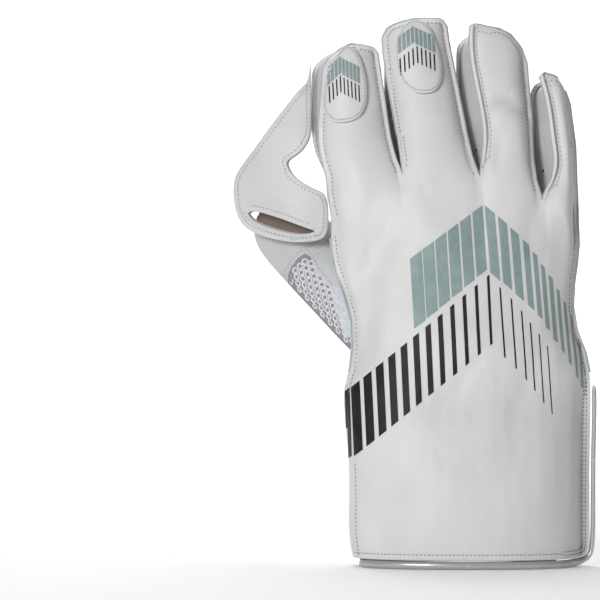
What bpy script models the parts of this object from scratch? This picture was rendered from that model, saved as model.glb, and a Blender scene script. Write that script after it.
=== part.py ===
"""A wicketkeeping glove for the right hand, standing on its open cuff, back of the hand towards -Y.

Metres, +Z up. The origin is under the middle of the glove, on the surface that it stands on.
"""

import math
from collections import namedtuple

import bmesh
import bpy
from mathutils import Vector
from mathutils.geometry import delaunay_2d_cdt

# Driving dimensions
CUFF_HEIGHT = 0.112
HAND_HEIGHT = 0.125
FINGER_LENGTH = 0.098
CUFF_WIDTH = 0.150
HAND_WIDTH = 0.153
CUFF_DEPTH = 0.084
HAND_DEPTH = 0.060
LEAN = 0.020

LEATHER = 0.0020
CUFF_WALL = 0.0060
CUFF_PAD = 0.0080
RUBBER = 0.0026
GUSSET_LEATHER = 0.0016
WEB_LEATHER = 0.0016
WEB_RUBBER = 0.0022
PATCH_PAD = 0.0022
PATCH_LIFT = 0.0009
PATCH_EDGE = 0.45
PATCH_TOP = 0.985
PATCH_FULLNESS = 0.85
SEAM_FLANGE = 0.0030
PIPING = 0.0050
SIDE_PIPING = 0.0032
PADDING_FADE = 0.018
CORNER = 0.0065
PIPING_TOP = 0.99
PIPING_ROOM = 0.0008
PIPING_STEP = 0.7
PALM_PIPING = (0.02, 0.90)
GAP = 0.0003
SEAM_GAP = 0.0005
FLANGE_COLUMN = 0.157
STAND_SAVING = 0.65
SEAM_ROOM = 0.0008
TIP_SLIT = 0.0010
PARTING_DROP = 0.009
OUTER_STRIP = 0.0024
OUTER_INSET = 0.0040
GUSSET_STEP = 0.007
GUSSET_SMOOTHING = 2
PALM_ROOT_OUTER = 0.30
PALM_ROOT_INNER = 0.75
PALM_SEAM = 0.50
ROOT_REACH = 0.4
BLOCK = 0.10

THUMB_LENGTH = 0.118
THUMB_WIDTH = 0.047
THUMB_DEPTH = 0.035
THUMB_BASE = (-0.043, 0.010, 0.136)
THUMB_TIP_DEPTH = 0.044
THUMB_ANGLE = 45.0
THUMB_TURNS = 2
CUTTER_REACH = 0.9
CUTTER_START = 0.05

WEB_WIDTH = 0.048
WEB_HEIGHT = 0.109
WEB_DEPTH = 0.020
WEB_FORWARD = 0.0001
WEB_TOP = 0.86
WEB_SEAM = 0.55
WEB_STEP = 0.15625

FULLNESS = 2.3
FINGER_FULLNESS = 2.2

# Outline of the hand and cuff, from the rim up. Stations run 0 to 1 over the cuff and 1 to 2 over the
# hand. Left and right are shares of half the width, front and rear shares of half the depth, and the
# flanges are shares of the seam flange.
Section = namedtuple("Section", "station left right front rear left_flange right_flange")
SECTIONS = (
    Section(0.00, -0.955, 0.965, 0.98, 0.98, 0.0, 2.4),
    Section(0.12, -0.985, 0.965, 1.00, 1.00, 0.0, 2.4),
    Section(0.50, -0.985, 0.965, 1.00, 0.98, 0.0, 2.2),
    Section(0.93, -1.025, 0.97, 0.92, 0.90, 0.6, 2.0),
    Section(1.10, -0.96, 0.945, 1.08, 1.08, 1.8, 1.2),
    Section(1.30, -0.955, 0.83, 1.00, 1.02, 1.8, 0.9),
    Section(1.50, -1.05, 0.83, 1.00, 1.00, 1.4, 0.8),
    Section(1.66, -1.12, 0.87, 0.98, 0.96, 1.1, 0.8),
    Section(1.82, -1.085, 0.87, 0.92, 0.88, 1.0, 0.8),
    Section(2.00, -1.15, 0.845, 0.80, 0.74, 1.0, 0.8),
    Section(2.35, -1.15, 0.845, 0.66, 0.62, 1.0, 0.8),
    Section(3.00, -1.15, 0.845, 0.58, 0.54, 1.0, 0.8),
)

# The line where the fingers part, from the thumb side. Across is a share of the hand's width there,
# the two drops are shares of the hand's height, on the back and on the palm.
Parting = namedtuple("Parting", "across back_drop palm_drop palm_shift")
PARTINGS = (
    Parting(0.000, 0.000, -0.02, 0.00),
    Parting(0.311, 0.000, -0.06, -0.14),
    Parting(0.610, 0.010, -0.06, -0.15),
    Parting(0.860, 0.115, 0.03, -0.10),
    Parting(1.000, 0.170, 0.12, 0.00),
)

# The fingers. Reach is a share of the longest finger. Seams say how deep the side seams lie behind the
# crown of the finger, as shares of its depth: at the parting and along the finger. Stand turns the
# seam's flange up towards the viewer. The tip's corners drop by shares of the finger's length.
Finger = namedtuple(
    "Finger",
    "name reach left_root left_seam left_stand right_root right_seam right_stand "
    "left_drop right_drop left_corner right_corner",
)
FINGERS = (
    Finger("index", 0.83, 0.10, 0.35, 0.2, 0.86, 0.45, 0.3, 0.12, 0.03, 0.07, 0.05),
    Finger("middle", 1.00, 0.86, 0.45, 0.3, 0.86, 0.40, 0.2, 0.05, 0.00, 0.07, 0.05),
    Finger("ring", 0.935, 0.86, 0.80, 1.0, 0.86, 0.30, 0.1, -0.03, 0.08, 0.02, 0.15),
    Finger("little", 0.775, 0.86, 0.80, 1.0, 0.10, 0.25, 0.1, -0.02, 0.09, 0.02, 0.14),
)

# Edges of each finger along its length, as shares of half the hand's width, on the back and the palm.
Edge = namedtuple("Edge", "station left right palm_left palm_right")
FINGER_EDGES = {
    "index": (
        Edge(0.00, -1.140, -0.540, -1.150, -0.658),
        Edge(0.15, -1.194, -0.605, -1.240, -0.686),
        Edge(0.30, -1.210, -0.640, -1.262, -0.694),
        Edge(0.50, -1.199, -0.672, -1.262, -0.698),
        Edge(0.70, -1.180, -0.704, -1.262, -0.702),
        Edge(0.85, -1.171, -0.728, -1.250, -0.715),
        Edge(1.00, -1.168, -0.742, -1.225, -0.735),
    ),
    "middle": (
        Edge(0.00, -0.540, 0.068, -0.658, -0.076),
        Edge(0.15, -0.562, 0.001, -0.673, -0.112),
        Edge(0.30, -0.588, -0.035, -0.680, -0.124),
        Edge(0.50, -0.632, -0.083, -0.682, -0.130),
        Edge(0.70, -0.680, -0.131, -0.680, -0.140),
        Edge(0.85, -0.698, -0.170, -0.674, -0.158),
        Edge(1.00, -0.690, -0.189, -0.655, -0.180),
    ),
    "ring": (
        Edge(0.00, 0.068, 0.560, -0.076, 0.470),
        Edge(0.15, 0.112, 0.510, -0.098, 0.466),
        Edge(0.30, 0.130, 0.500, -0.106, 0.464),
        Edge(0.50, 0.090, 0.494, -0.106, 0.460),
        Edge(0.70, 0.044, 0.474, -0.104, 0.452),
        Edge(0.85, 0.015, 0.459, -0.094, 0.440),
        Edge(1.00, 0.022, 0.452, -0.070, 0.415),
    ),
    "little": (
        Edge(0.00, 0.560, 0.856, 0.470, 0.856),
        Edge(0.15, 0.655, 0.851, 0.486, 0.842),
        Edge(0.30, 0.690, 0.842, 0.490, 0.832),
        Edge(0.50, 0.660, 0.839, 0.490, 0.816),
        Edge(0.70, 0.640, 0.816, 0.490, 0.796),
        Edge(0.85, 0.613, 0.798, 0.494, 0.770),
        Edge(1.00, 0.572, 0.790, 0.510, 0.745),
    ),
}

# The padded cuff on the palm side: how far the leather swells along its height, as shares of the pad.
Swell = namedtuple("Swell", "height swell")
CUFF_SWELLS = (
    Swell(0.00, 0.15),
    Swell(0.05, 0.30),
    Swell(0.20, 0.62),
    Swell(0.34, 0.48),
    Swell(0.395, 0.02),
    Swell(0.45, 0.40),
    Swell(0.57, 0.52),
    Swell(0.69, 0.40),
    Swell(0.745, 0.02),
    Swell(0.80, 0.45),
    Swell(0.89, 0.62),
    Swell(0.97, 0.25),
    Swell(1.00, 0.00),
)
WRIST_LINE = ((-0.165, 0.0), (-0.54, 0.32))
QUILT_LOW = 0.395
QUILT_HIGH = 0.745
QUILT_CHANNELS = 7
QUILT_SLANT = 0.17
QUILT_DEPTH = 0.0022

# The thumb's half sizes along its length, from the palm to the tip, as shares of half its width and depth.
Ring = namedtuple("Ring", "station width depth")
THUMB_RINGS = (
    Ring(0.00, 1.02, 0.92),
    Ring(0.18, 1.06, 0.98),
    Ring(0.40, 1.02, 1.02),
    Ring(0.62, 0.98, 1.00),
    Ring(0.80, 0.93, 0.92),
    Ring(0.90, 0.80, 0.77),
    Ring(0.96, 0.58, 0.54),
    Ring(0.99, 0.30, 0.27),
    Ring(1.00, 0.05, 0.05),
)
MESH_END = 0.62

# The web's outline, a closed run of points from the top of its upper arm. Out is a share of the web's
# width away from the index finger, down a share of its height.
WEB_OUTLINE = (
    (0.010, 0.000), (0.051, 0.106), (0.160, 0.151), (0.521, 0.353), (0.750, 0.492), (0.940, 0.604),
    (0.998, 0.680), (0.991, 0.780), (0.932, 0.875), (0.818, 0.935), (0.623, 0.975), (0.381, 1.002),
    (0.191, 1.010), (0.000, 1.005), (-0.160, 0.985), (-0.215, 0.920), (-0.215, 0.800), (-0.160, 0.735),
    (-0.050, 0.712), (0.114, 0.672), (0.235, 0.632), (0.310, 0.580), (0.295, 0.545), (0.140, 0.500),
    (0.030, 0.430), (0.000, 0.364), (0.000, 0.250), (0.000, 0.120),
)
WEB_SLOT = (
    (0.813, 0.845), (0.765, 0.828), (0.623, 0.842), (0.330, 0.885), (0.100, 0.925), (-0.050, 0.945),
    (0.020, 0.962), (0.254, 0.966), (0.480, 0.940), (0.640, 0.915), (0.754, 0.885),
)


def blend(a, b, share):
    return a + (b - a) * share


def ease(share):
    share = min(max(share, 0.0), 1.0)
    return share * share * (3 - 2 * share)


def along(table, column, station):
    """A smooth curve through one column of a table, read at a station."""
    xs = [row[0] for row in table]
    ys = [getattr(row, column) for row in table]
    station = min(max(station, xs[0]), xs[-1])
    k = max(i for i in range(len(xs) - 1) if xs[i] <= station)

    def slope(i):
        low, high = max(i - 1, 0), min(i + 1, len(xs) - 1)
        return (ys[high] - ys[low]) / (xs[high] - xs[low])

    run = xs[k + 1] - xs[k]
    t = (station - xs[k]) / run
    return (
        (2 * t**3 - 3 * t**2 + 1) * ys[k]
        + (t**3 - 2 * t**2 + t) * run * slope(k)
        + (3 * t**2 - 2 * t**3) * ys[k + 1]
        + (t**3 - t**2) * run * slope(k + 1)
    )


def crown(share, fullness):
    """Height of a full, rounded cross-section: 1 in the middle, 0 at both ends."""
    return max(0.0, 1 - min(abs(share), 1.0) ** fullness) ** (1 / fullness)


def station_of(z):
    if z <= CUFF_HEIGHT:
        return z / CUFF_HEIGHT
    return 1 + (z - CUFF_HEIGHT) / HAND_HEIGHT


def half_width(station):
    return blend(CUFF_WIDTH, HAND_WIDTH, ease(station - 0.6)) / 2


def half_depth(station):
    return blend(CUFF_DEPTH, HAND_DEPTH, ease((station - 0.55) / 0.6)) / 2


def middle(z):
    """The plane between back and palm, which leans towards the palm above the cuff."""
    rise = max(0.0, z - CUFF_HEIGHT) / (HAND_HEIGHT + FINGER_LENGTH)
    return LEAN * rise * rise


def knuckle_height(line, side):
    """Height of the parting line; line counts 0 to 4 from the thumb side."""
    k = min(int(line), len(PARTINGS) - 2)
    column = "back_drop" if side < 0 else "palm_drop"
    drop = blend(getattr(PARTINGS[k], column), getattr(PARTINGS[k + 1], column), line - k)
    return CUFF_HEIGHT + HAND_HEIGHT * (1 - drop)


def across_share(line, station, side):
    """Where a column stands across the hand, as a share of its width."""
    k = min(int(line), len(PARTINGS) - 2)
    low, high = PARTINGS[k], PARTINGS[k + 1]
    if side < 0:
        return blend(low.across, high.across, line - k)
    shift = ease(station - 1)
    return blend(
        low.across + shift * low.palm_shift * 0.5,
        high.across + shift * high.palm_shift * 0.5,
        line - k,
    )


def body_flange(share, station):
    """Width of the side seam's flange, as a multiple of the seam flange."""
    return max(0.0, along(SECTIONS, "left_flange" if share < 0 else "right_flange", station))


def edge_turn(share, station):
    """1 where the side seam's flange lies flat in the middle plane, 0 where the edge faces sideways."""
    return ease(body_flange(share, station))


def palm_room(share, station):
    """How far the palm side keeps behind the middle plane, to clear the back's leather at the side seam."""
    left, right = edge_turn(-1, station), edge_turn(1, station)
    return SEAM_GAP + (LEATHER + RUBBER) * blend(left, right, (share + 1) / 2)


def body_depth(share, z, side):
    """How far back or palm stands off the middle plane of the hand and cuff."""
    station = station_of(z)
    reach = along(SECTIONS, "front" if side < 0 else "rear", station) * half_depth(station)
    bulge = crown(share / (1 - body_flange(share, station) * SEAM_FLANGE / half_width(station)), FULLNESS)
    room = palm_room(share, station) if side > 0 else 0.0
    return room + (reach - room) * bulge


def seam_depth(finger, end, t):
    """The side seam's depth at one edge of a finger, a share of the finger's depth."""
    root, seam = getattr(finger, end + "_root"), getattr(finger, end + "_seam")
    return blend(root, seam, ease(t / ROOT_REACH))


def flange_share(finger, end, t, side):
    """The width of a finger's seam flange as a share of its half width. A standing flange takes little."""
    stand = getattr(finger, end + "_stand") if side < 0 else 1.0
    return SEAM_FLANGE * (1 - STAND_SAVING * stand) / finger_half(finger, t, side)


def finger_depth(finger, s, t, side, fall=1.0):
    """How far a finger's back or front stands off the middle plane."""
    reach = along(SECTIONS, "front" if side < 0 else "rear", 2 + t) * HAND_DEPTH / 2
    if side < 0:
        left, right = seam_depth(finger, "left", t), seam_depth(finger, "right", t)
    else:
        root_left = PALM_ROOT_OUTER if finger.name == "index" else PALM_ROOT_INNER
        root_right = PALM_ROOT_OUTER if finger.name == "little" else PALM_ROOT_INNER
        left, right = (blend(root, PALM_SEAM, ease(t / ROOT_REACH)) for root in (root_left, root_right))
    end = "left" if s < 0 else "right"
    flange = flange_share(finger, end, t, side)
    base = blend(left, right, (s + 1) / 2)
    depth = reach * (base + (1 - base) * crown(s / (1 - flange), FINGER_FULLNESS) * fall)
    if side < 0:
        turned = max(0.0, abs(s) - (1 - flange)) / flange
        depth += getattr(finger, end + "_stand") * turned * SEAM_FLANGE * ease(t / 0.25)
    return depth


def finger_edges(finger, t, side):
    rows = FINGER_EDGES[finger.name]
    columns = ("left", "right") if side < 0 else ("palm_left", "palm_right")
    return [along(rows, column, t) * HAND_WIDTH / 2 for column in columns]


def finger_half(finger, t, side):
    left, right = finger_edges(finger, t, side)
    return (right - left) / 2


def finger_top(finger, s, side):
    """Height of the tip's outline above the parting line, with its rounded corners."""
    length = finger.reach * FINGER_LENGTH
    drop = finger.left_drop * ease(-s) + finger.right_drop * ease(s)
    corner = finger.left_corner if s < 0 else finger.right_corner
    if side > 0:
        drop, corner = 0.02 + drop * 0.5, 0.13
    start = 1 - corner * length / finger_half(finger, 1, side)
    into = max(0.0, abs(s) - start) / (1 - start)
    return length * (1 - drop) - corner * length * (1 - math.sqrt(max(0.0, 1 - into**2)))


def spread(finger, column, t, side):
    """Where a column of the grid stands across a finger: the outermost columns bound the seam flange."""
    flange = flange_share(finger, "left" if column < 0 else "right", t, side)
    size = abs(column)
    if size <= 1 - FLANGE_COLUMN:
        place = size / (1 - FLANGE_COLUMN) * (1 - flange)
    else:
        place = 1 - (1 - size) / FLANGE_COLUMN * flange
    return math.copysign(place, column)


def finger_point(index, column, t, side, flat=False):
    """A point on the back (side -1) or front (side 1) of a finger. Flat leaves out its bulge."""
    finger = FINGERS[index]
    s = spread(finger, column, t, side)
    length = finger.reach * FINGER_LENGTH
    base = knuckle_height(index + (s + 1) / 2, side)
    root = knuckle_height(index + (1 if index < 2 else 0), -1)
    top = root + finger_top(finger, s, side)
    z = blend(base, top, t)
    share = min(max((z - base) / length, 0.0), 1.0)
    left, right = finger_edges(finger, share, side)
    depth = finger_depth(finger, s, share, side, 0.0 if flat else crown(t, 5.0))
    return Vector((blend(left, right, (s + 1) / 2), middle(z) + side * depth, z))


def body_point(line, station, side):
    """A point on the back or palm of the hand and cuff; line counts 0 to 4 from the thumb side."""
    knuckle = knuckle_height(line, side)
    if station <= 1:
        z = station * CUFF_HEIGHT
    else:
        z = blend(CUFF_HEIGHT, knuckle, station - 1)
    real = station_of(z)
    share = across_share(line, real, side)
    left = along(SECTIONS, "left", real) * half_width(real)
    right = along(SECTIONS, "right", real) * half_width(real)
    x = blend(left, right, share)
    depth = body_depth(2 * share - 1, z, side)
    # Near the parting line the hand takes on the fingers' shapes
    near = 1 - ease((knuckle - z) / (HAND_HEIGHT * 0.30))
    if near > 0:
        index = min(int(line), 3)
        s = 2 * (line - index) - 1
        root = finger_point(index, s, 0.0, side)
        x = blend(x, root.x, near)
        depth = blend(depth, side * (root.y - middle(root.z)), near)
    return Vector((x, middle(z) + side * depth, z))


def columns(inner):
    """Positions across one finger, with one column for each seam flange."""
    inside = [math.sin(math.pi * k / (2 * inner)) * (1 - FLANGE_COLUMN) for k in range(1, inner + 1)]
    return [-1.0] + [-x for x in reversed(inside)] + [0.0] + inside + [1.0]


BACK_COLUMNS = columns(3)
PALM_COLUMNS = columns(2)
FINGER_ROWS = (0.0, 0.14, 0.30, 0.46, 0.62, 0.77, 0.89, 0.97, 1.0)
BACK_STATIONS = (
    0.0, 0.05, 0.16, 0.32, 0.50, 0.68, 0.84, 0.96, 1.06, 1.17, 1.30, 1.44, 1.58, 1.70, 1.81, 1.91, 2.0,
)
OUTER_STATIONS = (1.66, 1.74, 1.82, 1.91, 2.0)
PALM_STATIONS = (1.0, 1.10, 1.25, 1.40, 1.55, 1.70, 1.82, 1.92, 2.0)


def glove_sheet(stations, across, side):
    """Points and faces of one side of the glove: the hand's grid, which parts into four finger grids."""
    points, faces, body, turned = [], [], {}, {}
    lines = [index + (s + 1) / 2 for index in range(4) for s in across[(1 if index else 0):]]
    for row, station in enumerate(stations):
        for column, line in enumerate(lines):
            body[column, row] = len(points)
            if line in (0, 4) and station < 1.85:
                turned[len(points)] = edge_normal(-1 if line == 0 else 1, station, side)
            points.append(body_point(line, station, side))
    top = len(stations) - 1
    for row in range(top):
        for column in range(len(lines) - 1):
            faces.append([body[column + a, row + b] for a, b in ((0, 0), (1, 0), (1, 1), (0, 1))])
    for index in range(4):
        start = index * (len(across) - 1)
        finger = {(k, 0): body[start + k, top] for k in range(len(across))}
        for row, t in enumerate(FINGER_ROWS[1:], 1):
            for k, s in enumerate(across):
                finger[k, row] = len(points)
                points.append(finger_point(index, s, t, side))
        for row in range(len(FINGER_ROWS) - 1):
            for k in range(len(across) - 1):
                faces.append([finger[k + a, row + b] for a, b in ((0, 0), (1, 0), (1, 1), (0, 1))])
    if side > 0:
        faces = [list(reversed(face)) for face in faces]
    normals = corner_normals(points, faces)
    for column in range(1, len(lines) - 1):
        level = normals[column].copy()
        level.z = 0
        turned[column] = level.normalized()
    return points, faces, turned


def edge_normal(end, station, side):
    """The outward direction at a side seam, along which both layers' rims lie flat against each other."""
    turn = edge_turn(end, station)
    return Vector((end * math.sqrt(1 - turn * turn), side * turn, 0))


def corner_normals(points, faces):
    normals = [Vector() for _ in points]
    for face in faces:
        corners = [points[k] for k in face]
        area = Vector()
        for k, corner in enumerate(corners):
            area += corner.cross(corners[(k + 1) % len(corners)])
        for k in face:
            normals[k] += area
    return [normal.normalized() for normal in normals]


def walled(points, faces, thickness, turned=None):
    """Closes a sheet into a solid wall: the inner face lies inside the outer one by its thickness.

    Turned gives the inward rims of some points their own direction, by the point's place in the list.
    """
    normals = corner_normals(points, faces)
    for k, normal in (turned or {}).items():
        normals[k] = normal
    inner = [point - normal * wall for point, normal, wall in zip(points, normals, thickness)]
    count = len(points)
    used = {}
    for face in faces:
        for a, b in zip(face, face[1:] + face[:1]):
            used[a, b] = True
    rims = [[b, a, a + count, b + count] for a, b in used if (b, a) not in used]
    backs = [[k + count for k in reversed(face)] for face in faces]
    return points + inner, faces + backs + rims


def material(name, colour, roughness, metallic=0.0):
    made = bpy.data.materials.new(name)
    made.use_nodes = True
    shader = made.node_tree.nodes["Principled BSDF"]
    shader.inputs["Base Color"].default_value = (*colour, 1.0)
    shader.inputs["Roughness"].default_value = roughness
    shader.inputs["Metallic"].default_value = metallic
    return made


def add_object(name, points, faces, finish, smooth=50.0):
    mesh = bpy.data.meshes.new(name)
    mesh.from_pydata([tuple(point) for point in points], [], faces)
    made = bpy.data.objects.new(name, mesh)
    bpy.context.scene.collection.objects.link(made)
    mesh.materials.append(finish)
    shape = bmesh.new()
    shape.from_mesh(mesh)
    bmesh.ops.remove_doubles(shape, verts=shape.verts, dist=1e-6)
    bmesh.ops.recalc_face_normals(shape, faces=shape.faces)
    shape.to_mesh(mesh)
    shape.free()
    mesh.shade_smooth()
    mesh.set_sharp_from_angle(angle=math.radians(smooth))
    return made


def back_thickness(point):
    """The back is padded over the cuff and thin over the hand and at its side seams."""
    station = station_of(point.z)
    left = along(SECTIONS, "left", station) * half_width(station)
    right = along(SECTIONS, "right", station) * half_width(station)
    edge = ease((min(point.x - left, right - point.x) - 2 * SEAM_FLANGE) / PADDING_FADE)
    return LEATHER + (CUFF_WALL - LEATHER) * edge * (1 - ease((station - 0.85) / 0.4))


def lifted(points):
    """The panels' lower edges stand on the piping, with a rounded corner on the outer side."""
    floor = PIPING + GAP
    made = []
    for p in points:
        if p.z < CUFF_HEIGHT:
            edge = along(SECTIONS, "right", station_of(p.z)) * half_width(station_of(p.z))
            into = min(max(0.0, 1 - (edge - p.x) / CORNER), 1.0)
            raised = CORNER * (1 - math.sqrt(1 - into**2)) * max(0.0, 1 - p.z / (2.5 * CORNER))
            p = Vector((p.x, p.y, floor + p.z * (CUFF_HEIGHT - floor) / CUFF_HEIGHT + raised))
        made.append(p)
    return made


def make_back(finish):
    points, faces, turned = glove_sheet(BACK_STATIONS, BACK_COLUMNS, -1)
    thickness = [back_thickness(point) for point in points]
    return add_object("back_leather", *walled(lifted(points), faces, thickness, turned), finish)


def make_palm(finish):
    points, faces, turned = glove_sheet(PALM_STATIONS, PALM_COLUMNS, 1)
    points = [p + Vector((0, 0, 2 * GAP * (1 - ease(station_of(p.z) - 1)))) for p in points]
    return add_object("palm_rubber", *walled(points, faces, [RUBBER] * len(points), turned), finish)


def quilt(share, height):
    """Depth of the sewn channels in the cuff's middle band: slanted lines that rise to the centre."""
    inside = ease((height - QUILT_LOW) / 0.05) * ease((QUILT_HIGH - height) / 0.05)
    across = abs(share - 0.5) + QUILT_SLANT * (height - QUILT_LOW) / (QUILT_HIGH - QUILT_LOW)
    phase = across * QUILT_CHANNELS * 2
    return inside * 0.5 * (1 + math.cos(2 * math.pi * phase))


def cuff_point(share, height):
    z = height * CUFF_HEIGHT
    station = station_of(z)
    left = along(SECTIONS, "left", station) * half_width(station)
    right = along(SECTIONS, "right", station) * half_width(station)
    depth = body_depth(2 * share - 1, z, 1)
    edge = ease(min(share, 1 - share) / 0.10)
    swell = along(CUFF_SWELLS, "swell", height) * CUFF_PAD * 0.5
    depth += edge * (swell - QUILT_DEPTH * quilt(share, height))
    return Vector((blend(left, right, share), middle(z) + depth, z))


def make_cuff(finish):
    columns_across = 22
    heights = [0.0, 0.05, 0.13, 0.22, 0.31, 0.37, 0.395, 0.42, 0.48, 0.57, 0.66, 0.72, 0.745, 0.77,
               0.82, 0.89, 0.96, 1.0]
    shares = [0.5 - 0.5 * math.cos(math.pi * k / columns_across) for k in range(columns_across)] + [1.0]
    points = lifted([cuff_point(share, height) for height in heights for share in shares])
    wide = len(shares)
    faces = [
        [row * wide + k + 1, row * wide + k, (row + 1) * wide + k, (row + 1) * wide + k + 1]
        for row in range(len(heights) - 1)
        for k in range(wide - 1)
    ]
    thickness, turned, normals = [], {}, corner_normals(points, faces)
    for k, point in enumerate(points):
        share, height = shares[k % wide], heights[k // wide]
        edge = ease((min(share, 1 - share) * CUFF_WIDTH - 2 * SEAM_FLANGE) / PADDING_FADE)
        thickness.append(LEATHER + (CUFF_WALL - LEATHER) * edge)
        if share in (0.0, 1.0):
            turned[k] = edge_normal(-1 if share == 0.0 else 1, height, 1)
        elif height in (0.0, 1.0):
            turned[k] = Vector((normals[k].x, normals[k].y, 0)).normalized()
    return add_object("palm_cuff", *walled(points, faces, thickness, turned), finish)


def seam_run(index, side, end):
    """Points up one side seam of a finger, just inside its flange. End is -1 for its left seam."""
    return [seam_point(index, end, t, side) for t in FINGER_ROWS[1:]]


def seam_point(index, column, t, side):
    """A point of a side wall's edge, just inside the seam flange and behind the panel's wall."""
    finger = FINGERS[index]
    inset = GUSSET_LEATHER / finger_half(finger, t, side)
    column *= (1 - FLANGE_COLUMN) * (1 - inset)
    top = 1 - SEAM_FLANGE * 0.6 / (finger.reach * FINGER_LENGTH)
    point = finger_point(index, column, min(t, top), side, flat=True)
    wall = LEATHER if side < 0 else RUBBER
    return point - Vector((0, side * (wall + SEAM_ROOM), 0))


def tip_run(index, side, s_to, steps=4):
    """Points over a finger's tip, from just beside its middle."""
    start = TIP_SLIT / finger_half(FINGERS[index], 1.0, side) * math.copysign(1, s_to)
    return [seam_point(index, blend(start, s_to, k / steps), 1.0, side) for k in range(steps)]


def parting_point(index, side):
    """The bottom of the parting between a finger and the next one."""
    root = finger_point(index, 1.0, 0.0, side)
    wall = LEATHER if side < 0 else RUBBER
    return root - Vector((0, side * (wall + SEAM_ROOM), PARTING_DROP))


def gusset_line(index, side):
    """A side wall's edge, from the middle of one finger's tip down to the parting and up to the next tip."""
    down = tip_run(index, side, 1.0) + seam_run(index, side, 1)[::-1]
    up = seam_run(index + 1, side, -1) + tip_run(index + 1, side, -1.0)[::-1]
    return down + [parting_point(index, side)] + up


def outer_lines(index, end):
    """Both edges of the outermost side walls, from where back and palm part up to the finger's tip."""
    front, rear = [], []
    for station in OUTER_STATIONS:
        pair = [body_point(0 if end < 0 else 4, station, side) for side in (-1, 1)]
        flange = body_flange(end, station_of(pair[0].z)) * SEAM_FLANGE
        inset = Vector((-end * (flange + OUTER_INSET), 0, 0))
        centre = (pair[0].y + pair[1].y) / 2
        pair = [spot + inset for spot in pair]
        pair[0].y = min(pair[0].y + LEATHER + SEAM_ROOM, centre - OUTER_STRIP / 2)
        pair[1].y = max(pair[1].y - RUBBER - SEAM_ROOM, centre + OUTER_STRIP / 2)
        front.append(pair[0])
        rear.append(pair[1])
    for line, side in ((front, -1), (rear, 1)):
        line += seam_run(index, side, end) + tip_run(index, side, end)[::-1]
    return front, rear


def evened(pairs, step):
    """Matching points of two lines, spread evenly."""
    far = [0.0]
    for before, after in zip(pairs, pairs[1:]):
        far.append(far[-1] + (sum(after, Vector()) - sum(before, Vector())).length / 2)
    steps = max(4, round(far[-1] / step))
    made, k = [], 0
    for number in range(steps + 1):
        goal = far[-1] * number / steps
        while k < len(far) - 2 and far[k + 1] < goal:
            k += 1
        share = (goal - far[k]) / (far[k + 1] - far[k])
        made.append([pairs[k][a].lerp(pairs[k + 1][a], share) for a in (0, 1)])
    return made


def softened(front, rear):
    """The two edges of a side wall with even steps and rounded corners."""
    pairs = evened(list(zip(front, rear)), GUSSET_STEP / 2)
    for _ in range(GUSSET_SMOOTHING):
        inner = [
            [(pairs[k - 1][a] + 2 * pairs[k][a] + pairs[k + 1][a]) / 4 for a in (0, 1)]
            for k in range(1, len(pairs) - 1)
        ]
        pairs = [pairs[0], *inner, pairs[-1]]
    pairs = evened(pairs, GUSSET_STEP)
    return [pair[0] for pair in pairs], [pair[1] for pair in pairs]


def ribbon(name, front, rear, finish, inward, tips):
    """A wall between two edge lines. Tips names the ends, 0 or -1, that lie over a finger's tip."""
    across = 2
    front, rear = softened(front, rear)
    points, faces = [], []
    for a, b in zip(front, rear):
        points += [a.lerp(b, k / across) for k in range(across + 1)]
    wide = across + 1
    for row in range(len(front) - 1):
        for k in range(across):
            faces.append([row * wide + k, row * wide + k + 1, (row + 1) * wide + k + 1, (row + 1) * wide + k])
    if inward:
        faces = [list(reversed(face)) for face in faces]
    normals, turned = corner_normals(points, faces), {}
    for tip in tips:
        for k in range(across + 1):
            place = k if tip == 0 else len(points) - 1 - k
            turned[place] = Vector((0, normals[place].y, normals[place].z)).normalized()
    return add_object(name, *walled(points, faces, [GUSSET_LEATHER] * len(points), turned), finish)


def make_gussets(finish):
    names = ("gusset_index_middle", "gusset_middle_ring", "gusset_ring_little")
    for index, name in enumerate(names):
        ribbon(name, gusset_line(index, -1), gusset_line(index, 1), finish, True, (0, -1))
    ribbon("gusset_index_side", *outer_lines(0, -1), finish, True, (-1,))
    ribbon("gusset_little_side", *outer_lines(3, 1), finish, False, (-1,))


def thumb_frame(station):
    """Centre of the thumb and its width and depth directions at a station."""
    angle = math.radians(THUMB_ANGLE)
    out = Vector((-math.cos(angle), 0, math.sin(angle)))
    rise = (THUMB_TIP_DEPTH - THUMB_BASE[1]) * (1.25 * station - 0.25 * station**2)
    centre = Vector(THUMB_BASE) + out * THUMB_LENGTH * station + Vector((0, rise, 0))
    return centre, Vector((math.sin(angle), 0, math.cos(angle))), Vector((0, 1, 0))


def thumb_point(station, turn, grow=0.0):
    """A point on the thumb. Turn runs 0 to 1 from one side seam over the palm side to the other."""
    centre, wide, deep = thumb_frame(station)
    half = along(THUMB_RINGS, "width", station) * THUMB_WIDTH / 2 + grow
    depth = along(THUMB_RINGS, "depth", station) * THUMB_DEPTH / 2 + grow
    angle = math.pi * turn
    c, s = math.cos(angle), math.sin(angle)
    full = 2 / 2.2
    return (
        centre
        + wide * half * math.copysign(abs(c) ** full, c)
        + deep * depth * math.copysign(abs(s) ** full, s)
    )


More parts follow.
